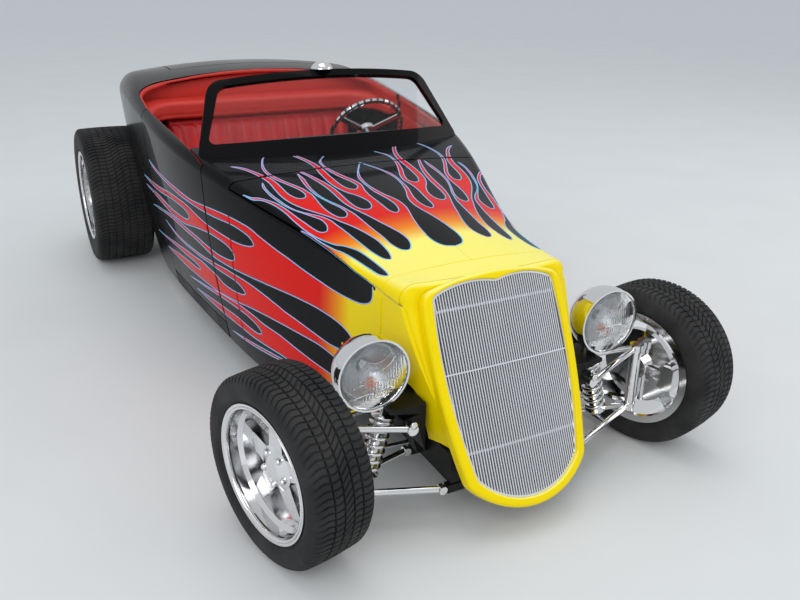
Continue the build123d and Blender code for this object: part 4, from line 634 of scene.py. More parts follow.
class Skin:
    """Outer faces of body panels, found by rays cast at the car's long axis."""

    def __init__(self, *nodes):
        points, faces = [], []
        for node in nodes:
            mesh = NODES[node].data
            start = len(points)
            points += [v.co.copy() for v in mesh.vertices]
            faces += [tuple(start + i for i in p.vertices) for p in mesh.polygons]
        self.tree = BVHTree.FromPolygons(points, faces)
        self.low_y = min(p.y for p in points)
        self.high_y = max(p.y for p in points)

    def at(self, side, angle, y):
        """Where a ray at an angle above the level meets the panel, and its normal."""
        way = Vector((side * cos(angle), 0.0, sin(angle)))
        spot, normal, _, _ = self.tree.ray_cast(Vector((0.0, y, AXIS_Z)) + way * RAY_START, -way)
        return (spot, normal) if spot else None

    def cast(self, start, way):
        """Where a straight ray meets the panels, or else the nearest point to where they are likely."""
        spot = self.tree.ray_cast(start, way)[0]
        return spot or self.tree.find_nearest(start + way * (RAY_START - MISS_REACH))[0]

    def reach(self, side, y, margin):
        """Highest and lowest angle of the panel's longest run at one y, inside its edges."""
        step, count = radians(1.5), 96
        angles = [radians(90) - step * k for k in range(count)]
        runs, run = [], []
        for angle in angles + [None]:
            if angle is not None and self.at(side, angle, y):
                run.append(angle)
            elif run:
                runs.append(run)
                run = []
        if not runs:
            return None
        best = max(runs, key=len)
        ends = []
        for inside, outward in ((best[0], step), (best[-1], -step)):
            if inside >= radians(90) - 1e-6 and outward > 0:
                ends.append(radians(90))
                continue
            inside = last_inside(inside, inside + outward, lambda angle: self.at(side, angle, y), 12)
            ends.append(inside - margin / AXIS_RADIUS * (1 if outward > 0 else -1))
        return ends if ends[0] > ends[1] + 0.01 else None

    def footprint(self, side, low_y, high_y, step, margin):
        """Outline of the panel in (angle times radius, y)."""
        low = max(low_y, self.low_y) + margin
        high = min(high_y, self.high_y) - margin
        count = max(2, ceil((high - low) / step))
        upper, lower = [], []
        for k in range(count + 1):
            y = low + (high - low) * k / count
            ends = self.reach(side, y, margin)
            if ends:
                upper.append((ends[0] * AXIS_RADIUS, y))
                lower.append((ends[1] * AXIS_RADIUS, y))
        return upper + lower[::-1]


def top_spot(skin, x, aft):
    """Angle and y of a flame point on the top; the pattern is centred on the car."""
    half = HALF_WIDTH[0] + HALF_WIDTH[1] * (aft - HALF_WIDTH[2])
    centred = min(0.0, x - CENTRE_SHIFT * (1 - (x / half) ** 2))
    if abs(x - CENTRE_SHIFT) < CENTRE_SNAP:
        centred = 0.0
    spot = skin.cast(Vector((centred / 1000, station(aft), RAY_START)), Vector((0.0, 0.0, -1.0)))
    return (atan2(spot.z - AXIS_Z, abs(centred) / 1000) * AXIS_RADIUS, station(aft))


def side_spot(skin, aft, z):
    """Angle and y of a flame point on the flank."""
    spot = skin.cast(Vector((-RAY_START, station(aft), z / 1000)), Vector((1.0, 0.0, 0.0)))
    return (atan2(z / 1000 - AXIS_Z, abs(spot.x)) * AXIS_RADIUS, station(aft))


def flame_lines(spacing):
    """The flame outline as smooth lines from tip to tip in (angle times radius, y)."""
    top_skin = Skin("hood_top", "cowl")
    side_skin = Skin("hood_side_right", "cowl", "door_right", "rear_body")
    edge = Skin("hood_top")
    seam = [(edge.reach(-1.0, station(aft), -EDGE_MARGIN)[1] * AXIS_RADIUS, station(aft))
            for aft in SEAM_AFTS]
    lines = [curve_through([top_spot(top_skin, *p) for p in lick], spacing) for lick in TOP_LICKS]
    lines[-1] += curve_through(seam, spacing)[1:]
    flank = [[side_spot(side_skin, *p) for p in lick] for lick in SIDE_LICKS]
    flank[0].insert(0, seam[-1])
    lines += [curve_through(lick, spacing) for lick in flank]
    return lines


def flame_outline(lines):
    """Closed outline of the flames on half of the car."""
    seam = atan2(FLAME_LOW_Z / 1000 - AXIS_Z, FLAME_LOW_X / 1000) * AXIS_RADIUS
    outline = [point for line in lines for point in line[:-1]] + [lines[-1][-1]]
    crown = pi / 2 * AXIS_RADIUS
    outline += [(seam, station(NOTCH_EDGE_AFT)), (seam, station(FLAME_FRONT_AFT))]
    outline += [(crown, station(FLAME_FRONT_AFT))]
    return outline


def decal(skin, side, outline, footprint, spacing):
    """Points and faces of the paint inside both outlines, lifted off the panel, its edges turned down."""
    grid = []
    low_u, high_u = min(p[0] for p in footprint), max(p[0] for p in footprint)
    low_y, high_y = min(p[1] for p in footprint), max(p[1] for p in footprint)
    for i in range(int((high_u - low_u) / spacing) + 1):
        for j in range(int((high_y - low_y) / spacing) + 1):
            grid.append((low_u + i * spacing, low_y + j * spacing))
    flat = [Vector(p) for p in outline + footprint + grid]
    rims = [list(range(len(outline))), list(range(len(outline), len(outline) + len(footprint)))]
    spots, _, triangles, _, _, owners = geometry.delaunay_2d_cdt(flat, [], rims, 1, 1e-6)
    kept = [tri for tri, own in zip(triangles, owners) if 0 in own and 1 in own]
    used = sorted({i for tri in kept for i in tri})
    place, points = {}, []
    for i in used:
        hit = skin.at(side, spots[i][0] / AXIS_RADIUS, spots[i][1])
        if hit:
            place[i] = len(points)
            points.append(hit)
    faces = [tuple(place[i] for i in tri) for tri in kept if all(i in place for i in tri)]
    if side > 0:
        faces = [face[::-1] for face in faces]
    edges = dict.fromkeys((a, b) for face in faces for a, b in zip(face, face[1:] + face[:1]))
    rim = [(a, b) for a, b in edges if (b, a) not in edges]
    lifted = [spot + normal * PAINT_LIFT for spot, normal in points]
    below = {}
    for a, b in rim:
        for i in (a, b):
            if i not in below:
                below[i] = len(lifted)
                lifted.append(points[i][0] - points[i][1] * SKIRT_DEPTH)
    faces += [(b, a, below[a], below[b]) for a, b in rim]
    return lifted, faces


def stripe(skin, side, line, width):
    """Points and faces of the thin line along a flame's edge, where it lies on the panel."""
    runs, run = [], []
    for u, y in line:
        hit = skin.at(side, u / AXIS_RADIUS, y)
        if hit:
            run.append(hit)
        else:
            runs.append(run)
            run = []
    runs.append(run)
    parts = []
    for run in runs:
        if len(run) < 3:
            continue
        points = []
        for index, (spot, normal) in enumerate(run):
            way = (run[min(index + 1, len(run) - 1)][0] - run[max(index - 1, 0)][0]).normalized()
            across = normal.cross(way).normalized() * width / 2
            for offset, lift in ((across, -SKIRT_DEPTH), (across, STRIPE_LIFT), (-across, STRIPE_LIFT),
                                 (-across, -SKIRT_DEPTH)):
                points.append(spot + offset + normal * lift)
        parts.append((points, ring_faces(len(run), 4, False, False)))
    return joined(parts)


# Stage, paint and flames

class ROADSTER_OT_stage(bpy.types.Operator):
    """Adds the floor, the lamps, the light all round and the camera"""
    bl_idname = "roadster.stage"
    bl_label = "Stage"

    def execute(self, context):
        stage = context.scene.roadster_stage
        context.scene.view_settings.view_transform = "Standard"
        self.lay_floor(stage)
        self.hang_lamps(context, stage)
        self.place_camera(context, stage)
        return {"FINISHED"}

    def lay_floor(self, stage):
        size = 60.0
        mesh = bpy.data.meshes.new("floor")
        corners = [(-size, -size, 0), (size, -size, 0), (size, size, 0), (-size, size, 0)]
        mesh.from_pydata(corners, [], [(0, 1, 2, 3)])
        floor = bpy.data.objects.new("floor", mesh)
        bpy.context.scene.collection.objects.link(floor)
        material = new_finish("studio_floor", stage.floor_color, 0.9, Specular_IOR_Level=0.1)
        darker = tuple(c * 0.97 for c in stage.floor_color)
        patchy(material, 2.0, 3.0, 0.3, 0.7, darker, stage.floor_color)
        mesh.materials.append(material)

    def hang_lamps(self, context, stage):
        world = bpy.data.worlds.new("surround")
        world.use_nodes = True
        background = world.node_tree.nodes["Background"]
        path = add_node(world, "ShaderNodeLightPath").outputs
        seen = arithmetic(world, "MAXIMUM", path["Is Camera Ray"], path["Is Glossy Ray"])
        seen = arithmetic(world, "MAXIMUM", seen, path["Is Transmission Ray"])
        glow = tuple(c * stage.sky_strength for c in stage.sky_color)
        world.node_tree.links.new(mixed(world, seen, glow, stage.backdrop), background.inputs["Color"])
        context.scene.world = world
        side_power = stage.key_power * 0.4
        # Name, place, target, size and power of each lamp.
        lamps = (
            ("key_lamp", (-5.5, -6.5, 6.0), (0.0, -0.4, 0.5), 6.5, stage.key_power),
            ("top_lamp", (0.0, -0.5, 8.5), (0.0, 0.0, 0.4), 5.0, stage.top_power),
            ("side_lamp", (7.5, -3.0, 4.5), (0.2, -0.6, 0.5), 5.0, side_power),
        )
        for name, spot, target, size, power in lamps:
            data = bpy.data.lights.new(name, "AREA")
            data.size = size
            data.energy = power
            lamp = bpy.data.objects.new(name, data)
            lamp.location = spot
            lamp.rotation_euler = (Vector(target) - Vector(spot)).to_track_quat("-Z", "Y").to_euler()
            context.scene.collection.objects.link(lamp)

    def place_camera(self, context, stage):
        data = bpy.data.cameras.new("camera")
        data.sensor_width = 36.0
        data.lens = stage.focal_length
        camera = bpy.data.objects.new("camera", data)
        # Solved from the photo: the camera's axes and its place in the car's frame.
        right = Vector((0.8871, -0.4613, 0.0153))
        up = Vector((0.1663, 0.3502, 0.9217))
        ahead = Vector((0.4306, 0.8151, -0.3874))
        turn = Matrix((right, up, -ahead)).transposed().to_4x4()
        turn.translation = Vector((-1.3133, -3.4070, 1.5998))
        camera.matrix_world = turn
        context.scene.collection.objects.link(camera)
        context.scene.camera = camera


class ROADSTER_OT_panels(bpy.types.Operator):
    """Paints the body panels, with the flame colour on the nose"""
    bl_idname = "roadster.panels"
    bl_label = "Body paint"

    def execute(self, context):
        paint = context.scene.roadster_paint
        black = clear_coated("black_paint", paint.black)
        dress(black, "cowl", "rear_body", "decklid", "door_left", "door_right")
        dress(nose_paint("hood_top_paint", paint, 165, 0.700, 235), "hood_top")
        dress(nose_paint("hood_side_paint", paint, 190, 0.440, 350), "hood_side_left", "hood_side_right")
        dress(fire_paint(paint), "grille_shell")
        return {"FINISHED"}


class ROADSTER_OT_fittings(bpy.types.Operator):
    """Puts metal, glass and chassis finishes on the parts that stay as they are"""
    bl_idname = "roadster.fittings"
    bl_label = "Metal, glass and chassis"

    def execute(self, context):
        chrome = polished("chrome", (0.80, 0.81, 0.82), 0.04, 0.10)
        dress(chrome, "headlights", "mirror", "steering_column", "steering_wheel", "tie_rods", "exhaust",
              "lower_arms", "upper_arms", "coil_overs_front", "coil_overs_rear")
        alloy = polished("wheel_polish", (0.84, 0.84, 0.85), 0.07, 0.16)
        dress(alloy, "wheel_front_left", "wheel_front_right", "wheel_rear_left", "wheel_rear_right",
              "knuckle_left", "knuckle_right")
        bars = new_finish("grille_metal", (0.86, 0.87, 0.90), 0.30, 0.75)
        uneven_roughness(bars, 14.0, 0.28, 0.38)
        grained(bars, 900.0, 0.000008, 0.3)
        dress(bars, "grille_insert")
        dress(clear_coated("screen_black", linear(5, 5, 7)), "windshield_frame", "dash")
        satin = new_finish("chassis_satin", linear(12, 12, 13), 0.45, Specular_IOR_Level=0.25)
        grained(satin, 260.0, 0.00008, 0.5, 4.0)
        uneven_roughness(satin, 10.0, 0.38, 0.52)
        dress(satin, "frame_rails", "crossmembers", "shock_towers", "rear_axle", "floor_pan", "trunk_floor",
              "plate_bracket", "steering_rack")
        dress(rough_metal("cast_iron", linear(96, 96, 98), 0.55, 180.0, 0.0005), "engine", "gearbox")
        dress(rough_metal("tank_metal", linear(92, 94, 96), 0.4, 120.0, 0.0001), "fuel_tank")
        dress(rough_metal("core_black", linear(7, 7, 8), 0.7, 300.0, 0.0003, 0.2), "radiator")
        dress(glass("tinted_glass", linear(228, 234, 238), 1.01, 0.40), "windshield_glass")
        lens = new_finish("red_lens", linear(150, 8, 10), 0.12, Coat_Weight=1.0, Coat_Roughness=0.05)
        grained(lens, 200.0, 0.0001, 0.5)
        dress(lens, "tail_lamps")
        return {"FINISHED"}


class ROADSTER_OT_flames(bpy.types.Operator):
    """Lays the flames and their thin outline on the hood, cowl, doors and rear body"""
    bl_idname = "roadster.flames"
    bl_label = "Flames"

    def execute(self, context):
        paint = context.scene.roadster_paint
        fire = bpy.data.materials["flame_paint"]
        line_finish = stripe_paint(paint)
        lines = flame_lines(LINE_SPACING)
        outline = flame_outline(lines)
        front, rear = station(FLAME_FRONT_AFT), station(FLAME_REAR_AFT)
        panels = [("hood", "hood_top", "hood", (-1, 1))]
        panels += [("cowl", "cowl", "body", (-1, 1)), ("rear", "rear_body", "body", (-1, 1))]
        for name, side in (("right", -1), ("left", 1)):
            panels.append((f"hood_side_{name}", f"hood_side_{name}", "body", (side,)))
            panels.append((f"door_{name}", f"door_{name}", f"{name}_door", (side,)))
        for name, node, body, sides in panels:
            skin = Skin(node)
            decals, stripes = [], []
            last, grid = (skin.high_y - HINGE_MARGIN, HOOD_GRID) if name == "hood" else (rear, PANEL_GRID)
            for side in sides:
                footprint = skin.footprint(side, front, last, LINE_SPACING, EDGE_MARGIN)
                decals.append(decal(skin, side, outline, footprint, grid))
                stripes += [stripe(skin, side, line, paint.stripe_width) for line in lines]
            new_piece(f"flame_{name}", *joined(decals), fire, body, "body_paint")
            new_piece(f"flame_line_{name}", *joined(stripes), line_finish, body, "body_paint")
        return {"FINISHED"}


# Tyres

def tyre_section(radius, width, rim_radius, seat_half, grooves, groove_depth):
    """A tyre's section from bead to bead: (x, radius, share of the cross cuts' depth)."""
    bore = rim_radius - 0.0117
    half = width / 2
    tread = half - 0.022
    crown = 0.003
    middle = rim_radius + (radius - 0.022 - rim_radius) / 2

    def crown_r(x):
        return radius - crown * (x / tread) ** 2

    side = [
        (seat_half - 0.0003, bore, 0.0),
        (seat_half + 0.0052, rim_radius - 0.0005, 0.0),
        (seat_half + 0.0085, rim_radius + 0.004, 0.0),
        (half - 0.0060, rim_radius + 0.010, 0.0),
        (half - 0.0060, rim_radius + 0.012, 0.0),
        (half - 0.0018, rim_radius + (middle - rim_radius) * 0.62, 0.0),
        (half, middle, 0.0),
        (half - 0.0006, middle + (radius - middle) * 0.25, 0.0),
        (half - 0.0030, radius - 0.024, 0.15),
        (half - 0.0062, radius - 0.0165, 0.6),
        (half - 0.0110, radius - 0.0100, 1.0),
        (half - 0.0165, radius - 0.0058, 1.0),
        (tread, crown_r(tread), 1.0),
    ]
    inner = []
    marks = [-tread + 0.002]
    for x in grooves:
        for offset, depth in ((-0.0032, 0), (-0.0018, groove_depth), (0.0018, groove_depth), (0.0032, 0)):
            inner.append((x + offset, crown_r(x) - depth, 0.0 if depth else 1.0))
        marks.append(x)
    marks.append(tread - 0.002)
    for a, b in zip(marks, marks[1:]):
        for share in (0.3, 0.5, 0.7):
            x = a + (b - a) * share
            inner.append((x, crown_r(x), 1.0))
    inner.sort()
    left = [(-x, r, share) for x, r, share in side]
    return left + inner + side[::-1]


def tyre_mesh(place, radius, width, rim_radius, seat_half, grooves, tyre):
    """Points and faces of a tyre with grooves round it and wavy cuts across its tread."""
    section = tyre_section(radius, width, rim_radius, seat_half, grooves, tyre.groove_depth)
    pitches = round(2 * pi * radius / tyre.pitch)
    # Places in one pitch and the depth of the cut there, then the waves and the slant of the cuts.
    cuts = ((0.0, 0.0), (0.30, 0.0), (0.66, 0.0), (0.72, 1.0), (0.94, 1.0))
    wave_size, slant = 0.010, 0.32
    points = []
    for pitch in range(pitches):
        for fraction, depth in cuts:
            angle = 2 * pi * (pitch + fraction) / pitches
            for x, r, share in section:
                wave = wave_size * sin(x / width * 4 * pi) + x * slant
                turn = angle + wave / radius
                r_here = r - depth * share * tyre.sipe_depth
                points.append(place @ Vector((x, r_here * sin(turn), r_here * cos(turn))))
    return points, ring_faces(pitches * len(cuts), len(section), True, True)


# Nose, grille, springs and wheels

def edge_y(skin, side, angle, start, stop):
    """First y, going from start to stop, at which a ray at an angle meets the skin."""
    step = 0.003 if stop > start else -0.003
    y = start
    while not skin.at(side, angle, y):
        y += step
        if (stop - y) * step < 0:
            return None
    return last_inside(y, y - step, lambda middle: skin.at(side, angle, middle), 10)


class ROADSTER_OT_nose(bpy.types.Operator):
    """Closes the nose between the grille shell and the hood with a rounded skin"""
    bl_idname = "roadster.nose"
    bl_label = "Nose skin"

    steps = 90
    rows = 9
    thickness = 0.003
    shell_search = (-1.42, -1.90)
    top_search = (-1.80, -1.40)
    hood_search = (-1.88, -1.36)

    def ring(self, side, angle, shell, top, flank):
        """Points across the skin, from the hood's edge to the shell's side, then back underneath."""
        shell_y = edge_y(shell, side, angle, *self.shell_search)
        hood = top if edge_y(top, side, angle, *self.top_search) else flank
        hood_y = edge_y(hood, side, angle, *self.hood_search)
        if shell_y is None or hood_y is None:
            return None
        spot, normal = hood.at(side, angle, hood_y + 0.002)
        inner = shell.at(side, angle, shell_y - 0.002)[0]
        gap = 0.0045 if hood is top else 0.0012
        start = spot - normal * 0.0004 + Vector((0.0, -gap, 0.0))
        reach = max(0.0, (start - inner).length - 0.004)
        outward = (inner - Vector((0.0, inner.y, AXIS_Z))).normalized()
        end = inner + Vector((0.0, -0.004, 0.0)) - outward * 0.001
        outer = []
        for k in range(self.rows):
            t = k / (self.rows - 1)
            bulge = min(0.007, reach * 0.35) * sin(pi * min(1.0, t * 1.15)) ** 0.7 if t < 0.87 else 0.0
            outer.append(start.lerp(end, t) + Vector((0.0, -bulge, 0.0)))
        inward = (Vector((0.0, start.y, AXIS_Z)) - start).normalized() * 0.4 + Vector((0.0, 0.9, 0.0))
        return outer + [p + inward.normalized() * self.thickness for p in reversed(outer)]

    def execute(self, context):
        shell, top = Skin("grille_shell"), Skin("hood_top")
        parts = []
        for side, node in ((1.0, "hood_side_left"), (-1.0, "hood_side_right")):
            flank = Skin(node)
            run = []
            for k in range(self.steps + 1):
                angle = radians(-40 + 130 * k / self.steps)
                ring = self.ring(side, angle, shell, top, flank)
                if ring:
                    run.append(ring)
            points = [p for ring in run for p in ring]
            faces = capped(len(run), self.rows * 2, flip=True)
            parts.append((points, faces if side < 0 else [face[::-1] for face in faces]))
        new_piece("nose_skin", *joined(parts), bpy.data.materials["flame_paint"], "body", "body_paint")
        return {"FINISHED"}


class ROADSTER_OT_grille_shade(bpy.types.Operator):
    """Hangs a dark sheet close behind the grille bars, painted shade standing in for the shade inside the
    shell
    """
    bl_idname = "roadster.screen"
    bl_label = "Grille shade sheet"

    def execute(self, context):
        tree = Skin("grille_insert").tree
        columns, rows, depth, thickness = 45, 64, 0.019, 0.0012
        ray_gap = 0.0012
        low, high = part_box("grille_insert")
        front = {}
        for i in range(columns):
            x = low.x + (high.x - low.x) * i / (columns - 1)
            for j in range(rows):
                z = low.z + (high.z - low.z) * j / (rows - 1)
                rays = [Vector((x + ray_gap * k, -RAY_START, z)) for k in range(-4, 5)]
                spots = [tree.ray_cast(ray, Vector((0.0, 1.0, 0.0)))[0] for ray in rays]
                spots = [spot.y for spot in spots if spot]
                if spots:
                    front[i, j] = Vector((x, min(spots) + depth, z))
        points, place, faces = [], {}, []
        for key, spot in front.items():
            place[key] = len(points)
            points += [spot, spot + Vector((0.0, thickness, 0.0))]
        for i, j in front:
            corners = ((i, j), (i + 1, j), (i + 1, j + 1), (i, j + 1))
            if all(k in front for k in corners):
                a, b, c, d = (place[k] for k in corners)
                faces += [(a, b, c, d), (d + 1, c + 1, b + 1, a + 1)]
        edges = {(a, b) for face in faces for a, b in zip(face, face[1:] + face[:1])}
        faces += [(b, a, a + 1, b + 1) for a, b in edges if (b, a) not in edges and a % 2 == 0]
        used = sorted({k for face in faces for k in face})
        order = {k: n for n, k in enumerate(used)}
        # Painted shade: a near-black sheet with fine bumps that darkens the gaps between the bars.
        finish = new_finish("grille_shade_black", linear(9, 9, 10), 0.7, Specular_IOR_Level=0.1)
        relief(finish, grain_height(finish, 700.0), 0.0004, 0.8)
        faces = [tuple(order[k] for k in face) for face in faces]
        new_piece("grille_shade_sheet", [points[k] for k in used], faces, finish, "body", "screen_black")
        return {"FINISHED"}


def spring_path(foot, head, radius, turns, start, end):
    """Helix round the line from foot to head, between two shares of it."""
    place = axis_place(foot, head - foot)
    length = (head - foot).length
    count = int(turns * 18)
    path = []
    for k in range(count + 1):
        t = k / count
        angle = 2 * pi * turns * t
        x = length * (start + (end - start) * t)
        path.append(place @ Vector((x, radius * cos(angle), radius * sin(angle))))
    return path


class ROADSTER_OT_springs(bpy.types.Operator):
    """Fits open coil springs round slim dampers, and bolts in the arms' eyes"""
    bl_idname = "roadster.springs"
    bl_label = "Springs and arm bolts"

    foot_x, foot_lift = 0.452, 0.006
    head_x, head_z = 0.385, 0.387
    rear_inset = 0.033
    bolt_x, bolt_z = 0.337, 0.3615

    def damper(self, foot, head):
        """Damper body, rod, spring seats and spring wire from foot to head."""
        length = (head - foot).length
        place = axis_place(foot, head - foot)
        section = [(0.0, 0.001), (0.0, 0.012), (0.08, 0.012), (0.085, 0.036), (0.115, 0.036),
                   (0.12, 0.019), (0.56, 0.019), (0.58, 0.009), (0.875, 0.009), (0.88, 0.036),
                   (0.91, 0.036), (0.915, 0.012), (1.0, 0.012), (1.0, 0.001)]
        body = turned([(share * length, r) for share, r in section], place, 28)
        wire = tube(spring_path(foot, head, 0.0310, 7, 0.130, 0.866), 0.0058, 10)
        return [body, wire]

    def execute(self, context):
        chrome = bpy.data.materials["chrome"]
        low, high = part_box("coil_overs_front")
        rear_low, rear_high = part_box("coil_overs_rear")
        middle = (low.y + high.y) / 2
        rear_x, rear_y = rear_high.x - self.rear_inset, (rear_low.y + rear_high.y) / 2
        bolt_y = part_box("upper_arms")[0].y + 0.001
        front, rear, bolts = [], [], []
        for side in (1.0, -1.0):
            foot = Vector((side * self.foot_x, middle, low.z + self.foot_lift))
            front += self.damper(foot, Vector((side * self.head_x, middle, self.head_z)))
            rear_foot = Vector((side * rear_x, rear_y, rear_low.z))
            rear += self.damper(rear_foot, Vector((side * rear_x, rear_y, rear_high.z)))
            bolt = axis_place((side * self.bolt_x, bolt_y, self.bolt_z), (0.0, -1.0, 0.0))
            bolts.append(hex_nut(bolt, 0.0125, 0.009))
        front_piece = new_piece("front_springs", *joined(front), chrome, "body", "polished_metal")
        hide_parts("coil_overs_front")
        rear_piece = new_piece("rear_springs", *joined(rear), chrome, "body", "polished_metal")
        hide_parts("coil_overs_rear")
        new_piece("arm_bolts", *joined(bolts), chrome, "body", "polished_metal")
        return {"FINISHED"}


class ROADSTER_OT_tyres(bpy.types.Operator):
    """Fits tyres with grooved tread in place of the plain ones"""
    bl_idname = "roadster.tyres"
    bl_label = "Tyres"

    def execute(self, context):
        tyre = context.scene.roadster_tyre
        finish = rubber()
        for end, size in WHEEL_SIZES.items():
            for name, outward in SIDES:
                place = wheel_place(f"{end}_{name}_roll", outward)
                points, faces = tyre_mesh(place, *size, TREAD_GROOVES[end], tyre)
                piece = new_piece(f"tread_tyre_{end}_{name}", points, faces, finish, f"{end}_{name}_wheel",
                                  "tyre", smooth=False)
                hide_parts(f"tyre_{end}_{name}")
        return {"FINISHED"}


def hex_nut(place, radius, height):
    """Six-sided nut with a domed end, its axis along the place's X."""
    rows = ((0.0, 1.0), (height * 0.62, 1.0), (height * 0.78, 0.90), (height * 0.94, 0.55), (height, 0.2))
    points = []
    for x, share in rows:
        for k in range(12):
            flat = 1.0 if k % 2 == 0 else 0.90
            angle = pi * k / 6
            r = radius * share * (flat if share > 0.95 else 0.9)
            points.append(place @ Vector((x, r * cos(angle), r * sin(angle))))
    return points, capped(len(rows), 12)


class ROADSTER_OT_wheel_trim(bpy.types.Operator):
    """Adds lug nuts, a stepped lip ring and a valve to each wheel"""
    bl_idname = "roadster.wheel_trim"
    bl_label = "Wheel trim"

    def execute(self, context):
        finish = bpy.data.materials["wheel_polish"]
        nuts, circle = 5, 0.050
        for end, (_, _, rim_radius, seat_half) in WHEEL_SIZES.items():
            edge = rim_radius - 0.0125
            ring = [(seat_half + 0.0118, edge + 0.004), (seat_half + 0.0138, edge + 0.001),
                    (seat_half + 0.0120, edge - 0.004), (seat_half - 0.004, edge - 0.0075),
                    (seat_half - 0.004, edge - 0.004)]
            for name, outward in SIDES:
                place = wheel_place(f"{end}_{name}_roll", outward)
                parts = []
                for k in range(nuts):
                    angle = 2 * pi * (k + 0.5) / nuts + pi / 2
                    spot = Vector((HUB_FACES[end] - 0.001, circle * cos(angle), circle * sin(angle)))
                    parts.append(hex_nut(place @ Matrix.Translation(spot), 0.0105, 0.022))
                parts.append(turned(ring, place, 96, True))
                stem = [place @ Vector((seat_half - 0.03 + 0.028 * t, 0.0, rim_radius - 0.042))
                        for t in (0, 0.5, 1.0)]
                parts.append(tube(stem, 0.004, 8))
                new_piece(f"wheel_trim_{end}_{name}", *joined(parts), finish, f"{end}_{name}_wheel",
                          "wheel_metal")
        return {"FINISHED"}


# Cushions

def edit_mesh(mesh, change):
    """Makes a change to a mesh's points and faces."""
    form = bmesh.new()
    form.from_mesh(mesh)
    change(form)
    form.to_mesh(mesh)
    form.free()


def bake(piece):
    """Turns what a piece's modifiers show into its mesh."""
    graph = bpy.context.evaluated_depsgraph_get()
    mesh = bpy.data.meshes.new_from_object(piece.evaluated_get(graph))
    piece.modifiers.clear()
    piece.data = mesh


def cushion_from(node, name, voxel, inset):
    """Soft closed form grown in the space of a CAD node: remeshed evenly, rounded and drawn in."""
    mesh = NODES[node].data.copy()
    piece = bpy.data.objects.new(name, mesh)
    bpy.context.scene.collection.objects.link(piece)
    edit_mesh(mesh, lambda form: bmesh.ops.remove_doubles(form, verts=form.verts, dist=0.00002))
    remesh = piece.modifiers.new("even", "REMESH")
    remesh.mode = "VOXEL"
    remesh.voxel_size = voxel
    bake(piece)

    def soften(form):
        for _ in range(6):
            bmesh.ops.smooth_vert(form, verts=form.verts, factor=0.5, use_axis_x=True, use_axis_y=True,
                                  use_axis_z=True)
        form.normal_update()
        for vert in form.verts:
            vert.co -= vert.normal * inset

    edit_mesh(piece.data, soften)
    return piece


def swell(piece, cap, pressure=4.0, last=20):
    """Cloth under air pressure fills the form out; no point moves further than the cap."""
    before = [v.co.copy() for v in piece.data.vertices]
    cloth = piece.modifiers.new("padding", "CLOTH")
    cloth.settings.use_pressure = True
    cloth.settings.uniform_pressure_force = pressure
    cloth.settings.effector_weights.gravity = 0.0
    cloth.point_cache.frame_start = 1
    cloth.point_cache.frame_end = last
    scene = bpy.context.scene
    for step in range(1, last + 1):
        scene.frame_set(step)
    bake(piece)
    for old, vert in zip(before, piece.data.vertices):
        move = vert.co - old
        if move.length > cap:
            vert.co = old + move.normalized() * cap
    scene.frame_set(1)


def shape(piece, displacement):
    """Moves each point along its normal by what a function of its place and normal says."""
    def change(form):
        form.normal_update()
        moves = [(vert, vert.normal.copy() * displacement(vert.co, vert.normal)) for vert in form.verts]
        for vert, move in moves:
            vert.co += move

    edit_mesh(piece.data, change)


def seam_dip(distance, width):
    """From 1 on a seam to 0 at its side."""
    share = min(1.0, abs(distance) / width)
    return (1 - share) ** 2


def pleat(x, half, count):
    """From 0 on a seam between channels to 1 at the crown of a channel."""
    share = (x + half) / (2 * half) * count
    return sqrt(abs(sin(pi * share)))


class ROADSTER_OT_seats(bpy.types.Operator):
    """Pads and pleats the bench seat and its back"""
    bl_idname = "roadster.seats"
    bl_label = "Bench seat"

    # Heights at which the pleats of the back end and its cross seam lies.
    pleat_top, back_seam = 0.845, 0.850

    def execute(self, context):
        wish = context.scene.roadster_leather
        finish = leather(wish.red)
        half = 0.5

        def back_relief(co, n):
            if n.y < -0.2 and co.z < self.pleat_top:
                return -wish.pleat_depth * (1 - pleat(co.x, half, wish.pleats))
            return -0.006 * seam_dip(co.z - self.back_seam, 0.012) if n.y < -0.1 else 0.0

        back = cushion_from("seat_back", "padded_seat_back", wish.voxel, 0.004)
        swell(back, 0.010)
        shape(back, back_relief)
        settle(back, finish, "body")
        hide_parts("seat_back")

        base = cushion_from("seat_base", "padded_seat_base", wish.voxel, 0.004)
        low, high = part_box("seat_base")
        swell(base, 0.012)
        front = low.y + 0.085

        def base_relief(co, n):
            if n.z > 0.35 and co.z > high.z - 0.09 and co.y > front + 0.004:
                return -wish.pleat_depth * (1 - pleat(co.x, half, wish.pleats))
            if co.z > high.z - 0.12:
                return -0.007 * seam_dip(co.y - front, 0.012)
            return -0.008 * seam_dip(co.z - (high.z - 0.15), 0.012)

        shape(base, base_relief)
        settle(base, finish, "body")
        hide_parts("seat_base")
        return {"FINISHED"}


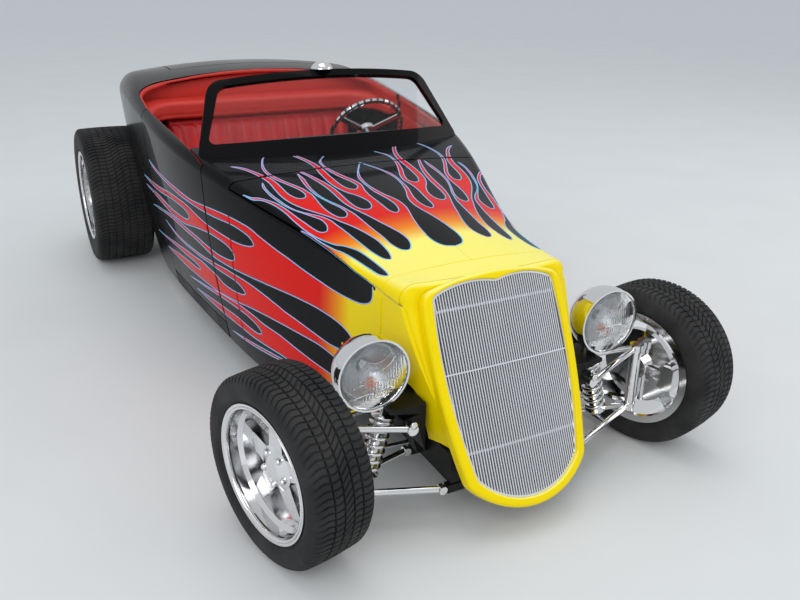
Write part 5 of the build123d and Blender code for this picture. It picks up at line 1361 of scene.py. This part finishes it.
class ROADSTER_OT_trim(bpy.types.Operator):
    """Pads the roll round the cockpit and the inner door panels"""
    bl_idname = "roadster.trim"
    bl_label = "Cockpit roll and door trim"

    # Heights of the door panels' two seams and of the crown between them.
    low_seam, high_seam = 0.560, 0.780
    crown_low, crown_high, crown_height = 0.575, 0.765, 0.19

    def roll_relief(self, co, seam_z):
        """Depth of the seam round the roll, and of the one across its back."""
        dip = -0.004 * seam_dip(co.z - seam_z, 0.010)
        return dip - 0.005 * seam_dip(abs(co.x) - 0.002, 0.010) if co.y > 0.5 else dip

    def door_relief(self, z):
        """Depth of the two seams of a door panel, and height of the crown between them."""
        dip = -0.0035 * seam_dip(z - self.low_seam, 0.009) - 0.0035 * seam_dip(z - self.high_seam, 0.009)
        if not self.crown_low < z < self.crown_high:
            return dip
        return dip + 0.004 * sin(pi * (z - self.crown_low) / self.crown_height)

    def execute(self, context):
        finish = bpy.data.materials["red_leather"]
        roll = cushion_from("cockpit_roll", "padded_cockpit_roll", 0.006, 0.002)
        swell(roll, 0.006)
        seam_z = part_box("cockpit_roll")[0].z + 0.020
        shape(roll, lambda co, n: self.roll_relief(co, seam_z))
        settle(roll, finish, "body")
        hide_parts("cockpit_roll")
        for name, side in SIDES:
            node = f"door_trim_{name}"
            panel = cushion_from(node, f"padded_door_trim_{name}", 0.005, 0.0)
            shape(panel, lambda co, n, side=side: self.door_relief(co.z) if n.x * side < -0.2 else 0.0)
            settle(panel, finish, f"{name}_door")
            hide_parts(node)
        return {"FINISHED"}


def lining(name, node, feet, body, finish, pad):
    """Padded band on a panel's inner wall up to its rim; feet hold each ray's start and way."""
    wall = Skin(node).tree
    rows, reach, rim_gap, rise = 12, 1.2, 0.006, 0.001
    columns = []
    for start, way in feet:
        spot = wall.ray_cast(start, way, reach)[0]
        if not spot:
            continue
        limit = (spot - start).length + rim_gap
        top = start.z
        while wall.ray_cast(Vector((start.x, start.y, top)), way, limit)[0]:
            top += rise
        top -= rim_gap
        spots = []
        for k in range(rows):
            z = start.z + (top - start.z) * k / (rows - 1)
            spots.append(wall.ray_cast(Vector((start.x, start.y, z)), way, reach)[0])
        if all(spots):
            columns.append((spots, way))
    points = []
    for index, (spots, way) in enumerate(columns):
        fade = min(1.0, index / 3, (len(columns) - 1 - index) / 3)
        for k, spot in enumerate(spots):
            crown = sin(pi * (k + 0.6) / (rows + 0.2)) ** 0.5
            points.append(spot - way * (0.002 + pad * crown * sqrt(fade)))
        points += [spot - way * 0.0006 for spot in reversed(spots)]
    piece = new_piece(name, points, capped(len(columns), 2 * rows), finish, body, "red_leather")
    edit_mesh(piece.data, lambda form: bmesh.ops.recalc_face_normals(form, faces=form.faces))


class ROADSTER_OT_lining(bpy.types.Operator):
    """Covers the cockpit's inner walls in padded leather up to the rim"""
    bl_idname = "roadster.lining"
    bl_label = "Cockpit lining"

    # The rear wall's arc of rays: its centre, its depth, the last y of the rim and the rim's slope.
    centre_y, depth, last_y = 0.36, 0.62, 0.739
    foot_z, slope, slope_y = 0.905, 0.14, 0.4
    # The doors' row of rays: the first y and height, the step and the fall per ray.
    door_y, door_z, door_step, door_fall = -0.372, 0.885, 0.0116, 0.0006

    def execute(self, context):
        finish = bpy.data.materials["red_leather"]
        feet = []
        for k in range(121):
            angle = pi * k / 120
            y = min(self.last_y, self.centre_y + self.depth * sin(angle))
            start = Vector((0.0, self.centre_y, self.foot_z + self.slope * (y - self.slope_y)))
            feet.append((start, Vector((cos(angle), sin(angle), 0.0))))
        lining("lining_rear", "rear_body", feet, "body", finish, 0.016)
        for name, side in SIDES:
            feet = []
            for k in range(61):
                y, z = self.door_y + self.door_step * k, self.door_z - self.door_fall * (60 - k)
                feet.append((Vector((0.0, y, z)), Vector((side, 0.0, 0.0))))
            lining(f"lining_door_{name}", f"door_{name}", feet, f"{name}_door", finish, 0.010)
        return {"FINISHED"}


# Headlights and steering wheel

class ROADSTER_OT_headlights(bpy.types.Operator):
    """Fits fluted lenses, mirrors and bulbs in the headlights"""
    bl_idname = "roadster.headlights"
    bl_label = "Headlight optics"

    lamp_r = 0.108
    dome = 0.022
    lamp_x, lamp_z = 0.434, 0.516
    flute_pitch, flute_depth = 0.0095, 0.0010
    rib_levels, rib_half, rib_depth = (0.052, 0.026, -0.004, -0.040), 0.0028, 0.0021

    def dome_height(self, x, z):
        """Height of the lens ahead of its rim, with upright flutes and level ribs."""
        r = min(1.0, hypot(x, z) / self.lamp_r)
        ball = (self.lamp_r ** 2 + self.dome ** 2) / (2 * self.dome)
        height = sqrt(ball ** 2 - (r * self.lamp_r) ** 2) - (ball - self.dome)
        fade = 1 - r ** 6
        flute = self.flute_depth * abs(cos(pi * x / self.flute_pitch))
        ribs = sum(max(0.0, 1 - abs(z - level - 9 * x * x * (1 if level > 0 else -0.3)) / self.rib_half)
                   for level in self.rib_levels)
        return height - fade * flute * (1 - min(1.0, ribs)) + fade * self.rib_depth * ribs

    def lens(self, centre, edge_y, seat_y):
        """Closed lens: the fluted dome, and its back down in the headlight."""
        rings, segments = 46, 132
        points = []
        for ring in range(rings):
            r = self.lamp_r * (ring + 0.15) / (rings - 0.85)
            for k in range(segments):
                angle = 2 * pi * k / segments
                x, z = r * cos(angle), r * sin(angle)
                points.append(Vector((centre.x + x, edge_y - self.dome_height(x, z), centre.z + z)))
        for r in (self.lamp_r, self.lamp_r * 0.6, self.lamp_r * 0.02):
            for k in range(segments):
                angle = 2 * pi * k / segments
                points.append(Vector((centre.x + r * cos(angle), seat_y, centre.z + r * sin(angle))))
        return points, capped(rings + 3, segments)

    def execute(self, context):
        front_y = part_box("headlights")[0].y
        lens_finish = glass("lens_glass", linear(240, 244, 246), 1.34, 0.8)
        mirror = polished("lamp_mirror", (0.72, 0.73, 0.75), 0.24, 0.36)
        amber = new_finish("amber_lens", linear(250, 120, 8), 0.3, Coat_Weight=0.5)
        relief(amber, grain_height(amber, 240.0), 0.0006, 0.8)
        edge_y = front_y + 0.004
        seat_y = front_y + 0.0125
        parts, bowls, glows = [], [], []
        for side in (1.0, -1.0):
            centre = Vector((side * self.lamp_x, front_y, self.lamp_z))
            parts.append(self.lens(centre, edge_y, seat_y))
            radii = (0.1, 0.092, 0.08, 0.065, 0.05, 0.035, 0.02)
            bowl = [(0.0165 + 0.07 * (1 - (r / 0.1) ** 2), r) for r in radii]
            bowl += [(x + 0.0015, r) for x, r in reversed(bowl)]
            place = axis_place(centre, (0.0, 1.0, 0.0))
            bowls.append(turned(bowl, place, 72, True))
            bulb = [(0.068, 0.001), (0.066, 0.006), (0.060, 0.0085), (0.052, 0.0085), (0.047, 0.006),
                    (0.0455, 0.0005)]
            bowls.append(turned(bulb, place, 24))
            glow = [(0.0150, 0.001), (0.0150, 0.014), (0.018, 0.0190), (0.026, 0.0190), (0.026, 0.001)]
            low_place = axis_place(centre + Vector((0.004, 0.0, -0.042)), (0.0, 1.0, 0.0))
            glows.append(turned(glow, low_place, 24))
        lens = new_piece("fluted_lenses", *joined(parts), lens_finish, "body", "clear_glass")
        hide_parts("headlight_lenses")
        new_piece("headlight_mirrors", *joined(bowls), mirror, "body", "polished_metal")
        new_piece("headlight_side_lamps", *joined(glows), amber, "body", "red_lens")
        return {"FINISHED"}


class ROADSTER_OT_steering(bpy.types.Operator):
    """Adds the grip rings on the steering wheel's rim"""
    bl_idname = "roadster.steering"
    bl_label = "Steering wheel grip"

    def execute(self, context):
        joint = JOINTS["steering_wheel_turn"]
        axis = Vector(joint["axis"]).normalized()
        rim_lift, rim_radius, beads = 0.0173, 0.182, 36
        place = axis_place(Vector(joint["pos_m"]) + axis * rim_lift, axis)
        grip = new_finish("grip_black", linear(26, 26, 28), 0.45)
        grained(grip, 500.0, 0.0001, 0.5)
        ring = [(-0.0052, 0.0112), (-0.0036, 0.0122), (0.0036, 0.0122), (0.0052, 0.0112), (0.0052, 0.009),
                (-0.0052, 0.009)]
        parts = []
        for k in range(beads):
            angle = 2 * pi * (k + 0.5) / beads
            centre = Vector((0.0, rim_radius * cos(angle), rim_radius * sin(angle)))
            bead = axis_place(centre, (0.0, -sin(angle), cos(angle)))
            parts.append(turned(ring, place @ bead, 14, True))
        new_piece("steering_grip", *joined(parts), grip, "steering_wheel", "polished_metal")
        return {"FINISHED"}


# Panel and registration

class ROADSTER_PT_sidebar(bpy.types.Panel):
    """Shows a button for each of the roadster's steps, and their settings"""
    bl_idname = "ROADSTER_PT_sidebar"
    bl_label = "Roadster"
    bl_space_type = "VIEW_3D"
    bl_region_type = "UI"
    bl_category = "Roadster"

    def draw(self, context):
        for operator in OPERATORS:
            self.layout.operator(operator.bl_idname)
        for settings in SETTINGS:
            box = self.layout.box()
            group = getattr(context.scene, settings)
            for key in group.bl_rna.properties.keys():
                if key not in ("rna_type", "name"):
                    box.prop(group, key)


OPERATORS = (
    ROADSTER_OT_stage, ROADSTER_OT_panels, ROADSTER_OT_fittings, ROADSTER_OT_flames, ROADSTER_OT_nose,
    ROADSTER_OT_grille_shade, ROADSTER_OT_springs, ROADSTER_OT_tyres, ROADSTER_OT_wheel_trim, ROADSTER_OT_seats,
    ROADSTER_OT_trim, ROADSTER_OT_lining, ROADSTER_OT_headlights, ROADSTER_OT_steering,
)
SETTINGS = {
    "roadster_stage": StageSettings,
    "roadster_paint": PaintSettings,
    "roadster_leather": LeatherSettings,
    "roadster_tyre": TyreSettings,
}


def register():
    for settings in SETTINGS.values():
        bpy.utils.register_class(settings)
    for operator in OPERATORS:
        bpy.utils.register_class(operator)
    bpy.utils.register_class(ROADSTER_PT_sidebar)
    for name, settings in SETTINGS.items():
        setattr(bpy.types.Scene, name, PointerProperty(type=settings))


def unregister():
    for name in SETTINGS:
        delattr(bpy.types.Scene, name)
    bpy.utils.unregister_class(ROADSTER_PT_sidebar)
    for operator in reversed(OPERATORS):
        bpy.utils.unregister_class(operator)
    for settings in SETTINGS.values():
        bpy.utils.unregister_class(settings)


def main():
    register()
    bpy.ops.roadster.stage()
    bpy.ops.roadster.panels()
    bpy.ops.roadster.fittings()
    bpy.ops.roadster.flames()
    bpy.ops.roadster.nose()
    bpy.ops.roadster.screen()
    bpy.ops.roadster.springs()
    bpy.ops.roadster.tyres()
    bpy.ops.roadster.wheel_trim()
    bpy.ops.roadster.seats()
    bpy.ops.roadster.trim()
    bpy.ops.roadster.lining()
    bpy.ops.roadster.headlights()
    bpy.ops.roadster.steering()


if __name__ == "__main__":
    main()
